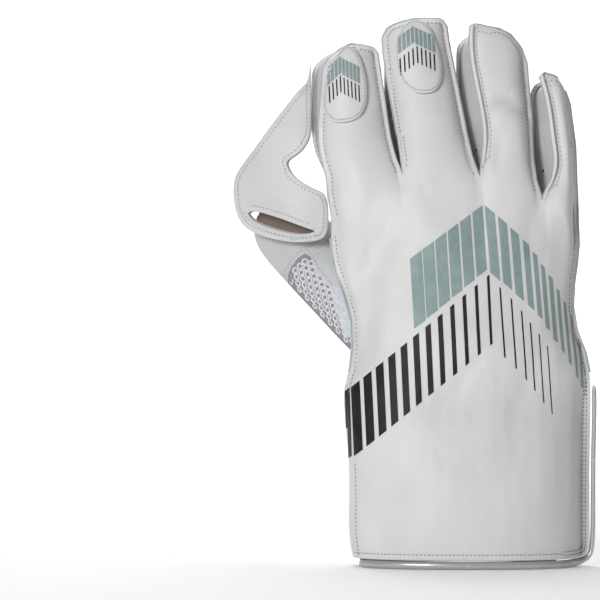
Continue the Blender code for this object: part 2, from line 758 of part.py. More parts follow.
def thumb_sheet(name, low, high, turn_low, turn_high, wall, finish):
    rows, across = 2 + round(9 * (high - low)), 8
    stations = [blend(low, high, k / rows) for k in range(rows + 1)]
    if high == 1.0:
        stations = [blend(low, 1.0, math.sin(math.pi / 2 * k / rows)) for k in range(rows + 1)]
    points = [
        thumb_point(station, blend(turn_low, turn_high, k / across))
        for station in stations
        for k in range(across + 1)
    ]
    wide = across + 1
    faces = [
        [row * wide + k, row * wide + k + 1, (row + 1) * wide + k + 1, (row + 1) * wide + k]
        for row in range(rows)
        for k in range(across)
    ]
    middle_point = thumb_frame((low + high) / 2)[0]
    normal = corner_normals(points, faces)[len(points) // 2]
    if normal.dot(points[len(points) // 2] - middle_point) < 0:
        faces = [list(reversed(face)) for face in faces]
    turned, normals = {}, corner_normals(points, faces)
    for k, normal in enumerate(normals):
        if k % wide in (0, across):
            turned[k] = Vector((normal.x, 0, normal.z)).normalized()
    return add_object(name, *walled(points, faces, [wall] * len(points), turned), finish)


def make_thumb(rubber, leather, mesh_cloth):
    edge = SEAM_GAP / THUMB_WIDTH
    thumb_sheet("thumb_rubber", 0.0, 1.0, edge, 1 - edge, RUBBER, rubber)
    split = GAP / THUMB_LENGTH
    back = (1 + edge, THUMB_TURNS - edge)
    thumb_sheet("thumb_leather", MESH_END + split, 1.0, *back, LEATHER, leather)
    thumb_sheet("thumb_mesh", 0.0, MESH_END - split, *back, LEATHER, mesh_cloth)


def thumb_cutter(grow):
    """A closed solid of the thumb's outside, which clears its way through the palm."""
    across, rows = 24, 10
    points = [
        thumb_point(k / rows * CUTTER_REACH - CUTTER_START, THUMB_TURNS * j / across, grow)
        for k in range(rows + 1)
        for j in range(across)
    ]
    faces = []
    for k in range(rows):
        for j in range(across):
            a, b = k * across + j, k * across + (j + 1) % across
            faces.append([a, b, b + across, a + across])
    faces += [list(range(across)), list(reversed(range(rows * across, (rows + 1) * across)))]
    cutter = add_object("thumb_cutter", points, faces, material("cutter", (1, 0, 0), 0.5))
    cutter.hide_render = True
    cutter.display_type = "WIRE"
    return cutter


def wrist_cutter(shift):
    """A block over the palm's corner below the line from the thumb's root to the cuff's middle."""
    low, high = (Vector((x * HAND_WIDTH, 0, z * HAND_HEIGHT + CUFF_HEIGHT)) for x, z in WRIST_LINE)
    ahead = (high - low).normalized()
    off = Vector((-ahead.z, 0, ahead.x))
    if off.z > 0:
        off = -off
    corners = [low - ahead * BLOCK / 2 - off * shift, high + ahead * BLOCK / 2 - off * shift]
    corners += [corners[1] + off * BLOCK, corners[0] + off * BLOCK]
    points = [corner + Vector((0, depth, 0)) for depth in (-0.8 * BLOCK, 1.2 * BLOCK) for corner in corners]
    faces = [[0, 1, 2, 3], [7, 6, 5, 4], [0, 4, 5, 1], [1, 5, 6, 2], [2, 6, 7, 3], [3, 7, 4, 0]]
    cutter = add_object("wrist_cutter", points, faces, material("cutter", (1, 0, 0), 0.5))
    cutter.hide_render = True
    cutter.display_type = "WIRE"
    return cutter


def make_wrist(palm, finish):
    """Cuts the soft leather corner out of the palm's sheet."""
    wrist = palm.copy()
    wrist.data = palm.data.copy()
    wrist.name = "wrist_suede"
    bpy.context.scene.collection.objects.link(wrist)
    wrist.data.materials[0] = finish
    apply_boolean(palm, wrist_cutter(GAP), "DIFFERENCE")
    apply_boolean(wrist, wrist_cutter(0.0), "INTERSECT")
    return wrist


def apply_boolean(target, other, operation):
    modifier = target.modifiers.new(operation, "BOOLEAN")
    modifier.operation = operation
    modifier.object = other
    modifier.solver = "EXACT"


def web_place(out, down):
    """A point on the web's front, from its place across and down."""
    top = knuckle_height(0, -1) + FINGERS[0].reach * FINGER_LENGTH * WEB_TOP
    left = finger_edges(FINGERS[0], WEB_SEAM, 1)[0] - GAP
    x = left - out * WEB_WIDTH
    z = top - down * WEB_HEIGHT
    depth = WEB_DEPTH * (0.10 + 0.9 * ease(out * 0.62) / ease(0.62))
    depth += 0.30 * WEB_DEPTH * ease((down - 0.88) / 0.16) * ease(out / 0.25)
    return Vector((x, middle(z) + depth - WEB_FORWARD, z))


def flat_sheet(outline, holes, spacing):
    """Flat points and triangles that fill an outline and leave its holes open."""
    loops = [outline, *holes]
    points, edges = [], []
    for loop in loops:
        start = len(points)
        points += [Vector(point) for point in loop]
        edges += [(start + k, start + (k + 1) % len(loop)) for k in range(len(loop))]
    low = [min(p[a] for p in outline) for a in (0, 1)]
    high = [max(p[a] for p in outline) for a in (0, 1)]
    row_step = spacing * math.sqrt(3) / 2
    rows = int((high[1] - low[1]) / row_step)
    for row in range(1, rows + 1):
        for k in range(int((high[0] - low[0]) / spacing) + 1):
            spot = Vector((low[0] + (k + 0.5 * (row % 2)) * spacing, low[1] + row * row_step))
            clear = min((spot - p).length for p in points[: sum(len(loop) for loop in loops)])
            if clear > 0.6 * spacing and inside(spot, outline) and not any(inside(spot, h) for h in holes):
                points.append(spot)
    verts, _, faces, *_ = delaunay_2d_cdt(points, edges, [], 0, 1e-7)
    kept = []
    for face in faces:
        centre = sum((verts[k] for k in face), Vector((0, 0))) / len(face)
        if inside(centre, outline) and not any(inside(centre, hole) for hole in holes):
            kept.append(list(face))
    used = sorted({k for face in kept for k in face})
    place = {k: n for n, k in enumerate(used)}
    return [verts[k] for k in used], [[place[k] for k in face] for face in kept]


def inside(spot, loop):
    found = False
    for a, b in zip(loop, [*loop[1:], loop[0]]):
        if (a[1] > spot[1]) != (b[1] > spot[1]):
            if spot[0] < a[0] + (spot[1] - a[1]) / (b[1] - a[1]) * (b[0] - a[0]):
                found = not found
    return found


def rounded(loop, steps):
    """A closed smooth curve through the loop's points."""
    made = []
    count = len(loop)
    for k in range(count):
        p0, p1, p2, p3 = (loop[(k + d) % count] for d in (-1, 0, 1, 2))
        for step in range(steps):
            t = step / steps
            spot = []
            for a, b, c, d in zip(p0, p1, p2, p3):
                square, cube = 2 * a - 5 * b + 4 * c - d, 3 * b - a - 3 * c + d
                spot.append((2 * b + (c - a) * t + square * t**2 + cube * t**3) / 2)
            made.append(tuple(spot))
    return made


def make_web(leather, rubber):
    outline = [Vector((a * WEB_WIDTH, b * WEB_HEIGHT)) for a, b in rounded(WEB_OUTLINE, 2)]
    slot = [Vector((a * WEB_WIDTH, b * WEB_HEIGHT)) for a, b in rounded(WEB_SLOT, 1)]
    flat, faces = flat_sheet(outline, [slot], WEB_STEP * WEB_WIDTH)
    front = [web_place(p.x / WEB_WIDTH, p.y / WEB_HEIGHT) for p in flat]
    normals = corner_normals(front, faces)
    if sum(normal.y for normal in normals) > 0:
        faces = [list(reversed(face)) for face in faces]
        normals = [-normal for normal in normals]
    add_object("web_leather", *walled(front, faces, [WEB_LEATHER] * len(front)), leather)
    back = [p - n * (WEB_LEATHER + GAP) for p, n in zip(front, normals)]
    add_object("web_rubber", *walled(back, faces, [WEB_RUBBER] * len(back)), rubber)


def oval(angle):
    """A point on the edge of a slightly square oval, from -1 to 1 each way."""
    across, up = math.cos(angle), math.sin(angle)
    return (
        math.copysign(abs(across) ** PATCH_FULLNESS, across),
        math.copysign(abs(up) ** PATCH_FULLNESS, up),
    )


def make_patch(name, index, centre_s, centre_t, half_s, half_t, finish):
    """A padded oval cap on a finger's back."""
    around, rings = 20, 3
    points, faces = [], []
    for ring in range(rings, 0, -1):
        for k in range(around):
            across, up = oval(2 * math.pi * k / around)
            s = centre_s + half_s * ring / rings * across
            t = centre_t + half_t * ring / rings * up
            points.append(finger_point(index, s, min(t, PATCH_TOP), -1))
    points.append(finger_point(index, centre_s, centre_t, -1))
    for ring in range(rings - 1):
        for k in range(around):
            a, b = ring * around + k, ring * around + (k + 1) % around
            faces.append([a, b, b + around, a + around])
    last = (rings - 1) * around
    faces += [[last + k, last + (k + 1) % around, len(points) - 1] for k in range(around)]
    normals = corner_normals(points, faces)
    if normals[-1].y > 0:
        faces = [list(reversed(face)) for face in faces]
        normals = [-normal for normal in normals]
    dome = [PATCH_PAD * blend(PATCH_EDGE, 1, (k // around + 1) / rings) for k in range(len(points))]
    outer = [p + n * (PATCH_LIFT + d) for p, n, d in zip(points, normals, dome)]
    return add_object(name, *walled(outer, faces, dome), finish)


def tube(name, rings, finish):
    """A six-sided cord with a flat side down. Each ring has a centre, an outward direction and a size."""
    sides = 6
    kept = [rings[0]]
    for ring in rings[1:]:
        if (ring[0] - kept[-1][0]).length > PIPING_STEP * PIPING:
            kept.append(ring)
    points, faces = [], []
    for k, (centre, normal, size) in enumerate(kept):
        ahead = kept[min(k + 1, len(kept) - 1)][0] - kept[max(k - 1, 0)][0]
        if centre.z <= PIPING / 2 + GAP:
            ahead.z = 0
        ahead.normalize()
        side = (normal - ahead * normal.dot(ahead)).normalized()
        up = ahead.cross(side)
        reach = size / 2 / math.cos(math.pi / sides)
        for j in range(sides):
            angle = 2 * math.pi * j / sides
            points.append(centre + (side * math.cos(angle) + up * math.sin(angle)) * reach)
    for k in range(len(kept) - 1):
        for j in range(sides):
            a, b = k * sides + j, k * sides + (j + 1) % sides
            faces.append([a, b, b + sides, a + sides])
    faces += [list(reversed(range(sides))), [len(points) - sides + j for j in range(sides)]]
    return add_object(name, points, faces, finish, smooth=65.0)


def make_piping(finish):
    half = PIPING / 2
    right = along(SECTIONS, "right", 0) * half_width(0)
    rings = []
    for k in range(25):
        line = 4 * blend(0.012, 1 - 1.15 * CORNER / (2 * right), 0.5 - 0.5 * math.cos(math.pi * k / 24))
        p, q = body_point(line, 0.0, -1), body_point(line + 0.02, 0.0, -1)
        ahead = (q - p).normalized()
        normal = Vector((ahead.y, -ahead.x, 0))
        rings.append((Vector((p.x, p.y, half)) - normal * half, normal, PIPING))
    front = Vector((0, -1, 0))
    centre = Vector((right - CORNER, half, PIPING + GAP + CORNER))
    bends = 4
    for k in range(bends + 1):
        size = blend(PIPING, SIDE_PIPING, k / bends)
        reach = CORNER + size / 2 + blend(GAP, PIPING_ROOM, k / bends)
        angle = math.pi / 2 * k / bends
        rings.append((centre + Vector((math.sin(angle), 0, -math.cos(angle))) * reach, front, size))
    for k in range(1, 9):
        height = blend(centre.z, PIPING_TOP * CUFF_HEIGHT, k / 8)
        edge = body_point(4, height / CUFF_HEIGHT, -1)
        spot = Vector((edge.x + SIDE_PIPING / 2 + PIPING_ROOM, edge.y + half, height))
        rings.append((spot, front, SIDE_PIPING))
    tube("piping_back", rings, finish)
    rings = []
    for k in range(23):
        share = blend(*PALM_PIPING, 0.5 - 0.5 * math.cos(math.pi * k / 22))
        p, q = cuff_point(share, 0.0), cuff_point(share + 0.005, 0.0)
        ahead = (q - p).normalized()
        normal = Vector((-ahead.y, ahead.x, 0))
        rings.append((Vector((p.x, p.y, half)) - normal * half, normal, PIPING))
    tube("piping_palm", rings, finish)


def centre_on_floor():
    """Moves every piece so that the origin is under the middle of the glove."""
    bpy.context.view_layer.update()
    graph = bpy.context.evaluated_depsgraph_get()
    spots = [
        made.matrix_world @ Vector(corner)
        for made in bpy.context.scene.objects
        if not made.hide_render
        for corner in made.evaluated_get(graph).bound_box
    ]
    low = Vector([min(spot[a] for spot in spots) for a in range(3)])
    high = Vector([max(spot[a] for spot in spots) for a in range(3)])
    shift = Vector((-(low.x + high.x) / 2, -(low.y + high.y) / 2, -low.z))
    for made in bpy.context.scene.objects:
        made.location += shift


def main():
    for old in list(bpy.data.objects):
        bpy.data.objects.remove(old)
    white = material("white_leather", (0.80, 0.80, 0.79), 0.42)
    rubber = material("pimpled_rubber", (0.75, 0.66, 0.62), 0.70)
    cloth = material("spacer_mesh", (0.80, 0.79, 0.83), 0.80)
    suede = material("soft_leather", (0.60, 0.63, 0.68), 0.75)
    silver = material("silver_piping", (0.55, 0.53, 0.52), 0.35, 0.4)
    make_back(white)
    palm = make_palm(rubber)
    wrist = make_wrist(palm, suede)
    make_cuff(white)
    make_gussets(white)
    make_thumb(rubber, white, cloth)
    make_web(white, rubber)
    make_patch("patch_index", 0, -0.20, 0.69, 0.64, 0.29, white)
    make_patch("patch_middle", 1, -0.02, 0.75, 0.62, 0.235, white)
    make_piping(silver)
    cutter = thumb_cutter(GAP * 2)
    apply_boolean(palm, cutter, "DIFFERENCE")
    apply_boolean(wrist, cutter, "DIFFERENCE")
    centre_on_floor()


main()
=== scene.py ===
# %% [markdown]
# A wicketkeeping glove, dressed over its CAD solids. The glove stands on its open cuff with the back of
# the hand towards the camera. Every leather panel starts as a copy of its solid, so it stays where the
# collision model has it, and then gets soft edges, padding, folds, stitches and its own finish.

import math

import bmesh
import bpy
import numpy as np
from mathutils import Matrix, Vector, noise
from mathutils.bvhtree import BVHTree


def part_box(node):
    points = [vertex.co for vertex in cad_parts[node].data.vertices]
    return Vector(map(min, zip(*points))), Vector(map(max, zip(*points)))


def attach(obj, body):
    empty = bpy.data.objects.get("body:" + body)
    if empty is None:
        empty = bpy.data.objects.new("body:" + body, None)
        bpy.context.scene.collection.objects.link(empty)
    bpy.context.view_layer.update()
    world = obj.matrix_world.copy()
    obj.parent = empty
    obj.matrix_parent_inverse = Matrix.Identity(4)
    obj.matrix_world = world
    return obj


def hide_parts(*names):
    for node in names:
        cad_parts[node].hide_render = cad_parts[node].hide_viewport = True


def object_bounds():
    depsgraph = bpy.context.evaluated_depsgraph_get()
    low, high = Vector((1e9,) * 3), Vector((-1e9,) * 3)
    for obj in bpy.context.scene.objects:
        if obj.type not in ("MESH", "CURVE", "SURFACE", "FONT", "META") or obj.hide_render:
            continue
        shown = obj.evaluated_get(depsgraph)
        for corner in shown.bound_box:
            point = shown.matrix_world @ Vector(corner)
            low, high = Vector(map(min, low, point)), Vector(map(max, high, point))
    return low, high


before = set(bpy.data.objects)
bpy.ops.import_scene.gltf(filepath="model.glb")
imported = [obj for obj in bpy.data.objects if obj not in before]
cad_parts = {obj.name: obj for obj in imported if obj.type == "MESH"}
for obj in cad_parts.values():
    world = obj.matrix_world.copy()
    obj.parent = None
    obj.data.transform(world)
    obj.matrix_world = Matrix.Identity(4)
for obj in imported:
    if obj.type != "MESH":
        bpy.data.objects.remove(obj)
cad_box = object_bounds()
print("solids", len(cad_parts), "box", [tuple(round(c, 4) for c in corner) for corner in cad_box])

# %% [markdown]
# Places on the glove are easiest to read off the photograph, which shows 0.61 mm of glove in each pixel.
# The middle of the glove's box stands at a known pixel, so one small function turns a pixel into
# metres across and up. Depth always comes from the surface itself.

# %% Pixels to metres
PIXEL = 0.00061
MM = 0.001
BOX_PIXEL = (414.5, 291.5)
RIM_PIXEL = (471.5, 566)
CENTRE = (cad_box[0] + cad_box[1]) / 2


def spot(px, py):
    """The place across and up that a pixel of the photograph shows."""
    return CENTRE.x + (px - BOX_PIXEL[0]) * PIXEL, CENTRE.z - (py - BOX_PIXEL[1]) * PIXEL


print("rim centre", spot(*RIM_PIXEL))

# %% [markdown]
# Materials are written as arithmetic. A wire is one output of a shader node, and adding or multiplying
# wires adds the Math nodes for it. Any other node comes from one method, which takes its settings first
# and then the values or wires of its sockets.


# %% Material maths
class Wire:
    """An output of a shader node, on which arithmetic adds Math nodes."""

    def __init__(self, finish, socket):
        self.finish, self.socket = finish, socket

    def math(self, operation, *values):
        sockets = dict(enumerate(values))
        return self.finish.node("ShaderNodeMath", {"operation": operation}, sockets)

    def __add__(self, other):
        return self.math("ADD", self, other)

    __radd__ = __add__

    def __sub__(self, other):
        return self.math("SUBTRACT", self, other)

    def __rsub__(self, other):
        return self.math("SUBTRACT", other, self)

    def __mul__(self, other):
        return self.math("MULTIPLY", self, other)

    __rmul__ = __mul__

    def between(self, low, high):
        """0 below low, 1 above high, smooth in between."""
        sockets = {"Value": self, "From Min": low, "From Max": high}
        return self.finish.node("ShaderNodeMapRange", {"interpolation_type": "SMOOTHSTEP"}, sockets)


class Finish:
    """A material and the nodes that feed its one shader."""

    def __init__(self, name, roughness, **constants):
        self.material = bpy.data.materials.new(name)
        self.material.use_nodes = True
        self.nodes = self.material.node_tree.nodes
        self.shader = self.nodes["Principled BSDF"]
        self.place = self.node("ShaderNodeTexCoord", {}, {}, "Object")
        self.feed("Roughness", roughness)
        for socket, value in constants.items():
            self.feed(socket.replace("_", " "), value)

    def node(self, kind, settings, sockets, output=0):
        """Adds a node and gives one of its outputs as a wire."""
        made = self.nodes.new(kind)
        for key, value in settings.items():
            setattr(made, key, value)
        for key, value in sockets.items():
            self.join(made.inputs[key], value)
        return Wire(self, made.outputs[output])

    def join(self, target, value):
        """Links a wire to a socket, or sets a constant on it."""
        if isinstance(value, Wire):
            self.material.node_tree.links.new(value.socket, target)
        elif isinstance(value, tuple) and len(value) == 3 and target.type == "RGBA":
            target.default_value = (*value, 1.0)
        else:
            target.default_value = value

    def feed(self, socket, value):
        """Gives a socket of the shader a wire or a constant."""
        self.join(self.shader.inputs[socket], value)

    def noise(self, scale, detail=2.0, roughness=0.5, place=None):
        """Cloudy noise, about scale spots in a metre."""
        sockets = {"Vector": place or self.place, "Scale": scale, "Detail": detail, "Roughness": roughness}
        return self.node("ShaderNodeTexNoise", {}, sockets)

    def cells(self, scale):
        """The distance to the nearest of scattered points, as in pebbled grain."""
        return self.node("ShaderNodeTexVoronoi", {}, {"Vector": self.place, "Scale": scale})

    def mix(self, share, low, high):
        """A colour between two others."""
        return self.node("ShaderNodeMix", {"data_type": "RGBA"}, {0: share, 6: low, 7: high}, 2)

    def emboss(self, height, distance, strength=1.0):
        """Tilts the shader's normal as bumps of this height would."""
        sockets = {"Height": height, "Distance": distance, "Strength": strength}
        self.feed("Normal", self.node("ShaderNodeBump", {}, sockets))


# %% [markdown]
# The leather is smooth, off-white and a little glossy, with a fine pebbled grain that only shows close
# up. Broad, faint changes of colour and shine keep it from looking like plastic. The finger walls are the
# same hide in a greyer tone, and the web and the thumb get darker copies that are painted shade, so one
# function makes all four.


# %% Leather
PUCKERED = (
    # px, py, reach in metres: where the leather gathers into fine wrinkles
    (405, 184, 0.012),
    (480, 184, 0.013),
    (542, 203, 0.012),
    (362, 330, 0.018),
)
PUCKER_CORE = 0.25  # share of the reach where the wrinkles keep their full height
PUCKER_HEIGHT = 8.0  # in grain heights
GRAIN = 0.00011


def puckers(finish):
    """The height of fine upright wrinkles that fade out round each puckered place."""
    flat = {0: finish.place, 1: (1.0, 0.0, 1.0)}
    level = finish.node("ShaderNodeVectorMath", {"operation": "MULTIPLY"}, flat)
    near = 0.0
    for px, py, reach in PUCKERED:
        x, z = spot(px, py)
        ends = {0: level, 1: (x, 0.0, z)}
        away = finish.node("ShaderNodeVectorMath", {"operation": "DISTANCE"}, ends, 1)
        near = near + (1.0 - away.between(PUCKER_CORE * reach, reach))
    drawn = finish.node("ShaderNodeMapping", {}, {"Vector": finish.place, "Scale": (1.0, 1.0, 0.4)})
    ridge = finish.noise(230.0, 1.0, 0.5, drawn) - 0.5
    ridge = ridge.math("ABSOLUTE", ridge)
    return near * ridge * PUCKER_HEIGHT


def leather(name, light, dark, roughness):
    """White or grey hide: two tones, pebbled grain and wrinkles."""
    finish = Finish(name, roughness, Specular_IOR_Level=0.36)
    broad = finish.noise(26.0, 3.0).between(0.32, 0.68)
    fine = finish.noise(190.0, 3.0, 0.6)
    finish.feed("Base Color", finish.mix(broad * 0.6 + fine * 0.4, dark, light))
    finish.feed("Roughness", roughness - 0.06 + 0.12 * fine)
    pebbles = finish.cells(1150.0) * 0.6 + finish.noise(620.0, 3.0) * 0.5 + finish.noise(90.0, 2.0) * 1.6
    finish.emboss(pebbles + puckers(finish), GRAIN, 0.55)
    return finish.material


white_leather = leather("white_leather_finish", (0.69, 0.69, 0.68), (0.62, 0.62, 0.615), 0.50)
grey_leather = leather("gusset_leather_finish", (0.60, 0.605, 0.62), (0.50, 0.505, 0.52), 0.48)
# The web's darker tones are painted shade, where it turns away from the light.
web_shaded_hide = leather("web_leather_painted_shade_finish", (0.62, 0.625, 0.62), (0.55, 0.555, 0.55), 0.50)
# The thumb's darker tones are painted shade, for the shadow under the web.
thumb_shaded_hide = leather("thumb_leather_painted_shade_finish", (0.53, 0.54, 0.55), (0.45, 0.46, 0.47), 0.52)
print("leather", [hide.name for hide in (white_leather, grey_leather, web_shaded_hide, thumb_shaded_hide)])

# %% [markdown]
# The palm's rubber is a dry, pinkish beige. Its rings are real geometry, so the material only adds faint
# mottling and a matt, slightly uneven shine. The other finishes are as short: a colour that wanders a
# little between two tones, and a fine bump for the nap of suede, the yarn of mesh or the terry lining.

# %% Rubber, suede, mesh, piping, thread, lining and print
def rubber_finish(name, dark, light):
    """Matt moulded rubber in two tones."""
    finish = Finish(name, 0.68, Specular_IOR_Level=0.35)
    dust = finish.noise(900.0, 2.0)
    mottle = finish.noise(40.0, 4.0).between(0.25, 0.75)
    finish.feed("Base Color", finish.mix(mottle * 0.35 + dust * 0.65, dark, light))
    finish.feed("Roughness", 0.62 + 0.14 * dust)
    finish.emboss(dust, 0.00008, 0.5)
    return finish


rubber = rubber_finish("pimpled_rubber_finish", (0.40, 0.315, 0.285), (0.52, 0.425, 0.39))
# A dark copy of the rubber: painted shade for the rubber seen in shadow through the web's slot.
slot_shade_rubber = rubber_finish("rubber_slot_painted_shade_finish", (0.150, 0.115, 0.105), (0.215, 0.170, 0.155))
ring_rubber = rubber_finish("rubber_ring_finish", (0.62, 0.525, 0.485), (0.74, 0.65, 0.61))

suede = Finish("suede_finish", 0.85, Sheen_Weight=0.25, Sheen_Roughness=0.5)
nap = suede.noise(420.0, 4.0, 0.65)
suede.feed("Base Color", suede.mix(nap.between(0.35, 0.65), (0.50, 0.53, 0.57), (0.62, 0.65, 0.68)))
suede.emboss(nap, 0.00025, 0.6)

air_mesh = Finish("air_mesh_finish", 0.75, Sheen_Weight=0.2)
yarn = air_mesh.noise(1500.0, 2.0)
air_mesh.feed("Base Color", air_mesh.mix(yarn.between(0.3, 0.7), (0.60, 0.585, 0.64), (0.80, 0.785, 0.83)))
air_mesh.emboss(yarn, 0.0002, 0.7)

mesh_dark = Finish("air_mesh_backing_finish", 0.9)
mesh_dark.feed("Base Color", mesh_dark.mix(mesh_dark.noise(700.0), (0.20, 0.195, 0.22), (0.32, 0.31, 0.34)))

silver = Finish("silver_piping_finish", 0.26, Metallic=0.35, Specular_IOR_Level=0.6)
coat = silver.noise(40.0, 1.0)
silver.feed("Base Color", silver.mix(coat, (0.48, 0.46, 0.45), (0.52, 0.50, 0.485)))
silver.feed("Roughness", 0.24 + 0.06 * coat)

thread = Finish("thread_finish", 0.6)
thread.feed("Base Color", thread.mix(thread.noise(300.0), (0.25, 0.26, 0.29), (0.36, 0.37, 0.40)))
welt_finish = Finish("welt_finish", 0.5)
cloth = welt_finish.noise(260.0)
welt_finish.feed("Base Color", welt_finish.mix(cloth, (0.34, 0.39, 0.42), (0.47, 0.52, 0.55)))
pale_thread = Finish("pale_thread_finish", 0.6)
twist = pale_thread.noise(300.0)
pale_thread.feed("Base Color", pale_thread.mix(twist, (0.38, 0.39, 0.43), (0.50, 0.51, 0.55)))

lining = Finish("cotton_lining_finish", 0.95, Sheen_Weight=0.3)
terry = lining.cells(650.0)
lining.feed("Base Color", lining.mix(terry.between(0.1, 0.6), (0.60, 0.60, 0.58), (0.74, 0.74, 0.72)))
lining.emboss(terry, 0.0004, 0.7)


def film(name, light, dark, shine):
    """The printed bars: a thin satin film that takes on the leather's grain."""
    finish = Finish(name, 0.5, Specular_IOR_Level=shine)
    grain = finish.noise(160.0, 3.0)
    finish.feed("Base Color", finish.mix(grain.between(0.3, 0.7), dark, light))
    finish.feed("Roughness", 0.46 + 0.12 * grain)
    finish.emboss(finish.cells(1150.0), 0.00008, 0.5)
    return finish.material


teal_film = film("teal_print_finish", (0.250, 0.335, 0.332), (0.215, 0.30, 0.297), 0.40)
black_film_and_vent_shade = film("black_print_and_vent_shade_finish", (0.020, 0.020, 0.0195), (0.012, 0.012, 0.012), 0.20)
print("finishes", len(bpy.data.materials))

# %% [markdown]
# A CAD solid is faceted. The copy of it has its triangles joined back into quads, its cut edges held with
# a crease, and a subdivision surface rounds it, which is what a turned leather edge looks like.


# %% From solid to soft panel
WELD = 2e-6
JOIN_ANGLES, JOIN_SHAPE = (25, 60), 70
SHARP = 50.0
INNER_SIDE = -0.35
RAY_START = 0.3


def quads(node):
    """A CAD node's mesh with its triangles joined into quads, ready to be worked on."""
    shape = bmesh.new()
    shape.from_mesh(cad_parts[node].data)
    bmesh.ops.remove_doubles(shape, verts=shape.verts, dist=WELD)
    for angle in JOIN_ANGLES:
        bmesh.ops.join_triangles(
            shape,
            faces=shape.faces,
            angle_face_threshold=math.radians(angle),
            angle_shape_threshold=math.radians(JOIN_SHAPE),
        )
    bmesh.ops.recalc_face_normals(shape, faces=shape.faces)
    return shape


def finished(name, mesh, finish, slot, *replaced):
    """Adds a mesh to the scene as one piece of the glove."""
    piece = bpy.data.objects.new(name, mesh)
    bpy.context.scene.collection.objects.link(piece)
    if not mesh.materials:
        mesh.materials.append(finish)
    mesh.shade_smooth()
    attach(piece, "root")
    if replaced:
        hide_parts(*replaced)
    return piece


def drawn_piece(name, out, finish, slot="white_leather"):
    """A piece from a list of points and a list of faces."""
    mesh = bpy.data.meshes.new(name)
    mesh.from_pydata([tuple(point) for point in out[0]], [], out[1])
    return finished(name, mesh, finish, slot)


def bands(base, rings, sides, faces):
    """Joins each ring of points to the next one with a band of quads."""
    for ring in range(rings - 1):
        for k in range(sides):
            a, b = base + ring * sides + k, base + ring * sides + (k + 1) % sides
            faces.append((a, b, b + sides, a + sides))


def patched(numbers, rows, columns, faces):
    """Adds a quad wherever a grid of numbered points has all four corners."""
    for row in range(rows):
        for k in range(columns):
            corners = [numbers.get(c) for c in ((row, k), (row + 1, k), (row + 1, k + 1), (row, k + 1))]
            if None not in corners:
                faces.append(tuple(corners))


def soft_mesh(node, levels, crease=0.9):
    """The node's mesh after its creases and subdivision."""
    shape = quads(node)
    layer = shape.edges.layers.float.new("crease_edge")
    for edge in shape.edges:
        if edge.is_manifold and edge.calc_face_angle() > math.radians(SHARP):
            edge[layer] = crease
    mesh = bpy.data.meshes.new(node)
    shape.to_mesh(mesh)
    shape.free()
    holder = bpy.data.objects.new(node + "_holder", mesh)
    bpy.context.scene.collection.objects.link(holder)
    modifier = holder.modifiers.new("round", "SUBSURF")
    modifier.levels = modifier.render_levels = levels
    smooth = bpy.data.meshes.new_from_object(holder.evaluated_get(bpy.context.evaluated_depsgraph_get()))
    bpy.data.objects.remove(holder)
    bpy.data.meshes.remove(mesh)
    smooth.materials.clear()
    return smooth


def moved(mesh, shift):
    """Moves each point of a mesh by what shift says for its place and normal."""
    normals = [vertex.normal.copy() for vertex in mesh.vertices]
    for vertex, normal in zip(mesh.vertices, normals):
        vertex.co += shift(vertex.co, normal)
    mesh.update()


def lined(mesh, outer, facing):
    """Gives the faces that look into the glove the lining, and the others the outer finish."""
    mesh.materials.append(outer)
    mesh.materials.append(lining.material)
    for face in mesh.polygons:
        face.material_index = 1 if face.normal.y * facing < INNER_SIDE else 0


def tree(*pieces):
    """A search tree over the surface of one or more pieces."""
    points, faces = [], []
    for piece in pieces:
        base = len(points)
        points += [vertex.co[:] for vertex in piece.data.vertices]
        faces += [tuple(base + k for k in face.vertices) for face in piece.data.polygons]
    return BVHTree.FromPolygons(points, faces)


def cast(tree_, x, z, facing):
    """The surface point and normal seen from the front (facing -1) or from behind (facing 1)."""
    hit, normal, _, _ = tree_.ray_cast(Vector((x, facing * RAY_START, z)), Vector((0, -facing, 0)))
    return hit, normal


def bell(distance, width):
    """1 at no distance, fading smoothly to 0 beyond the width."""
    return math.exp(-((distance / width) ** 2))


# %% [markdown]
# The back of the hand is one supple panel. Worn leather keeps soft hollows where the thumb's root, the
# knuckles and the wrist pull on it. Each hollow is an ellipse in a short table, pressed in along the
# surface, and a slow noise adds the last unevenness.

# %% Back of the hand
# Places are pixels of the photograph, sizes and depths are millimetres, turns are degrees.
HOLLOWS = (
    # px, py, long, wide, turn, depth
    (370, 240, 26, 12, 60, 2.6),
    (369, 270, 24, 9, 62, 7.5),
    (368, 328, 26, 6.5, 82, 5.5),
    (382, 322, 22, 5, 84, -1.6),
    (384, 300, 20, 7, 100, 1.6),
    (503, 98, 10, 3, 24, 4.0),
    (508, 90, 9, 2.4, 24, -1.8),
    (521, 113, 9, 3, -30, 2.8),
    (498, 150, 12, 4, 80, 1.4),
    (470, 368, 20, 5, 48, 1.8),
    (484, 356, 18, 5, 48, -0.9),
    (520, 395, 22, 6, 70, 1.2),
    (560, 470, 40, 8, 88, 1.6),
    (395, 520, 34, 12, 60, 1.2),
    (532, 215, 20, 6, 80, 1.4),
    (562, 230, 18, 8, 48, 3.2),
    (560, 330, 26, 7, 100, 1.9),
    (540, 352, 20, 5, 60, 1.4),
    (372, 205, 18, 6, 70, 1.4),
    (402, 205, 16, 6, 85, -1.1),
    (392, 152, 18, 5, 75, -0.8),
)
FADED = 6  # beyond this squared distance, in half sizes, a hollow is flat
SWELL, SWELL_SCALE = 0.0008, 28
UNEVEN, UNEVEN_ACROSS, UNEVEN_UP = 0.0005, 95, 48


def hollow(x, z):
    """How deep the leather is pressed in at a place, in metres."""
    depth = 0.0
    for px, py, long, wide, turn, deep in HOLLOWS:
        cx, cz = spot(px, py)
        c, s = math.cos(math.radians(turn)), math.sin(math.radians(turn))
        along, across = (x - cx) * c + (z - cz) * s, (z - cz) * c - (x - cx) * s
        reach = (along / (long * MM)) ** 2 + (across / (wide * MM)) ** 2
        if reach < FADED:
            depth += deep * MM * math.exp(-reach)
    return depth


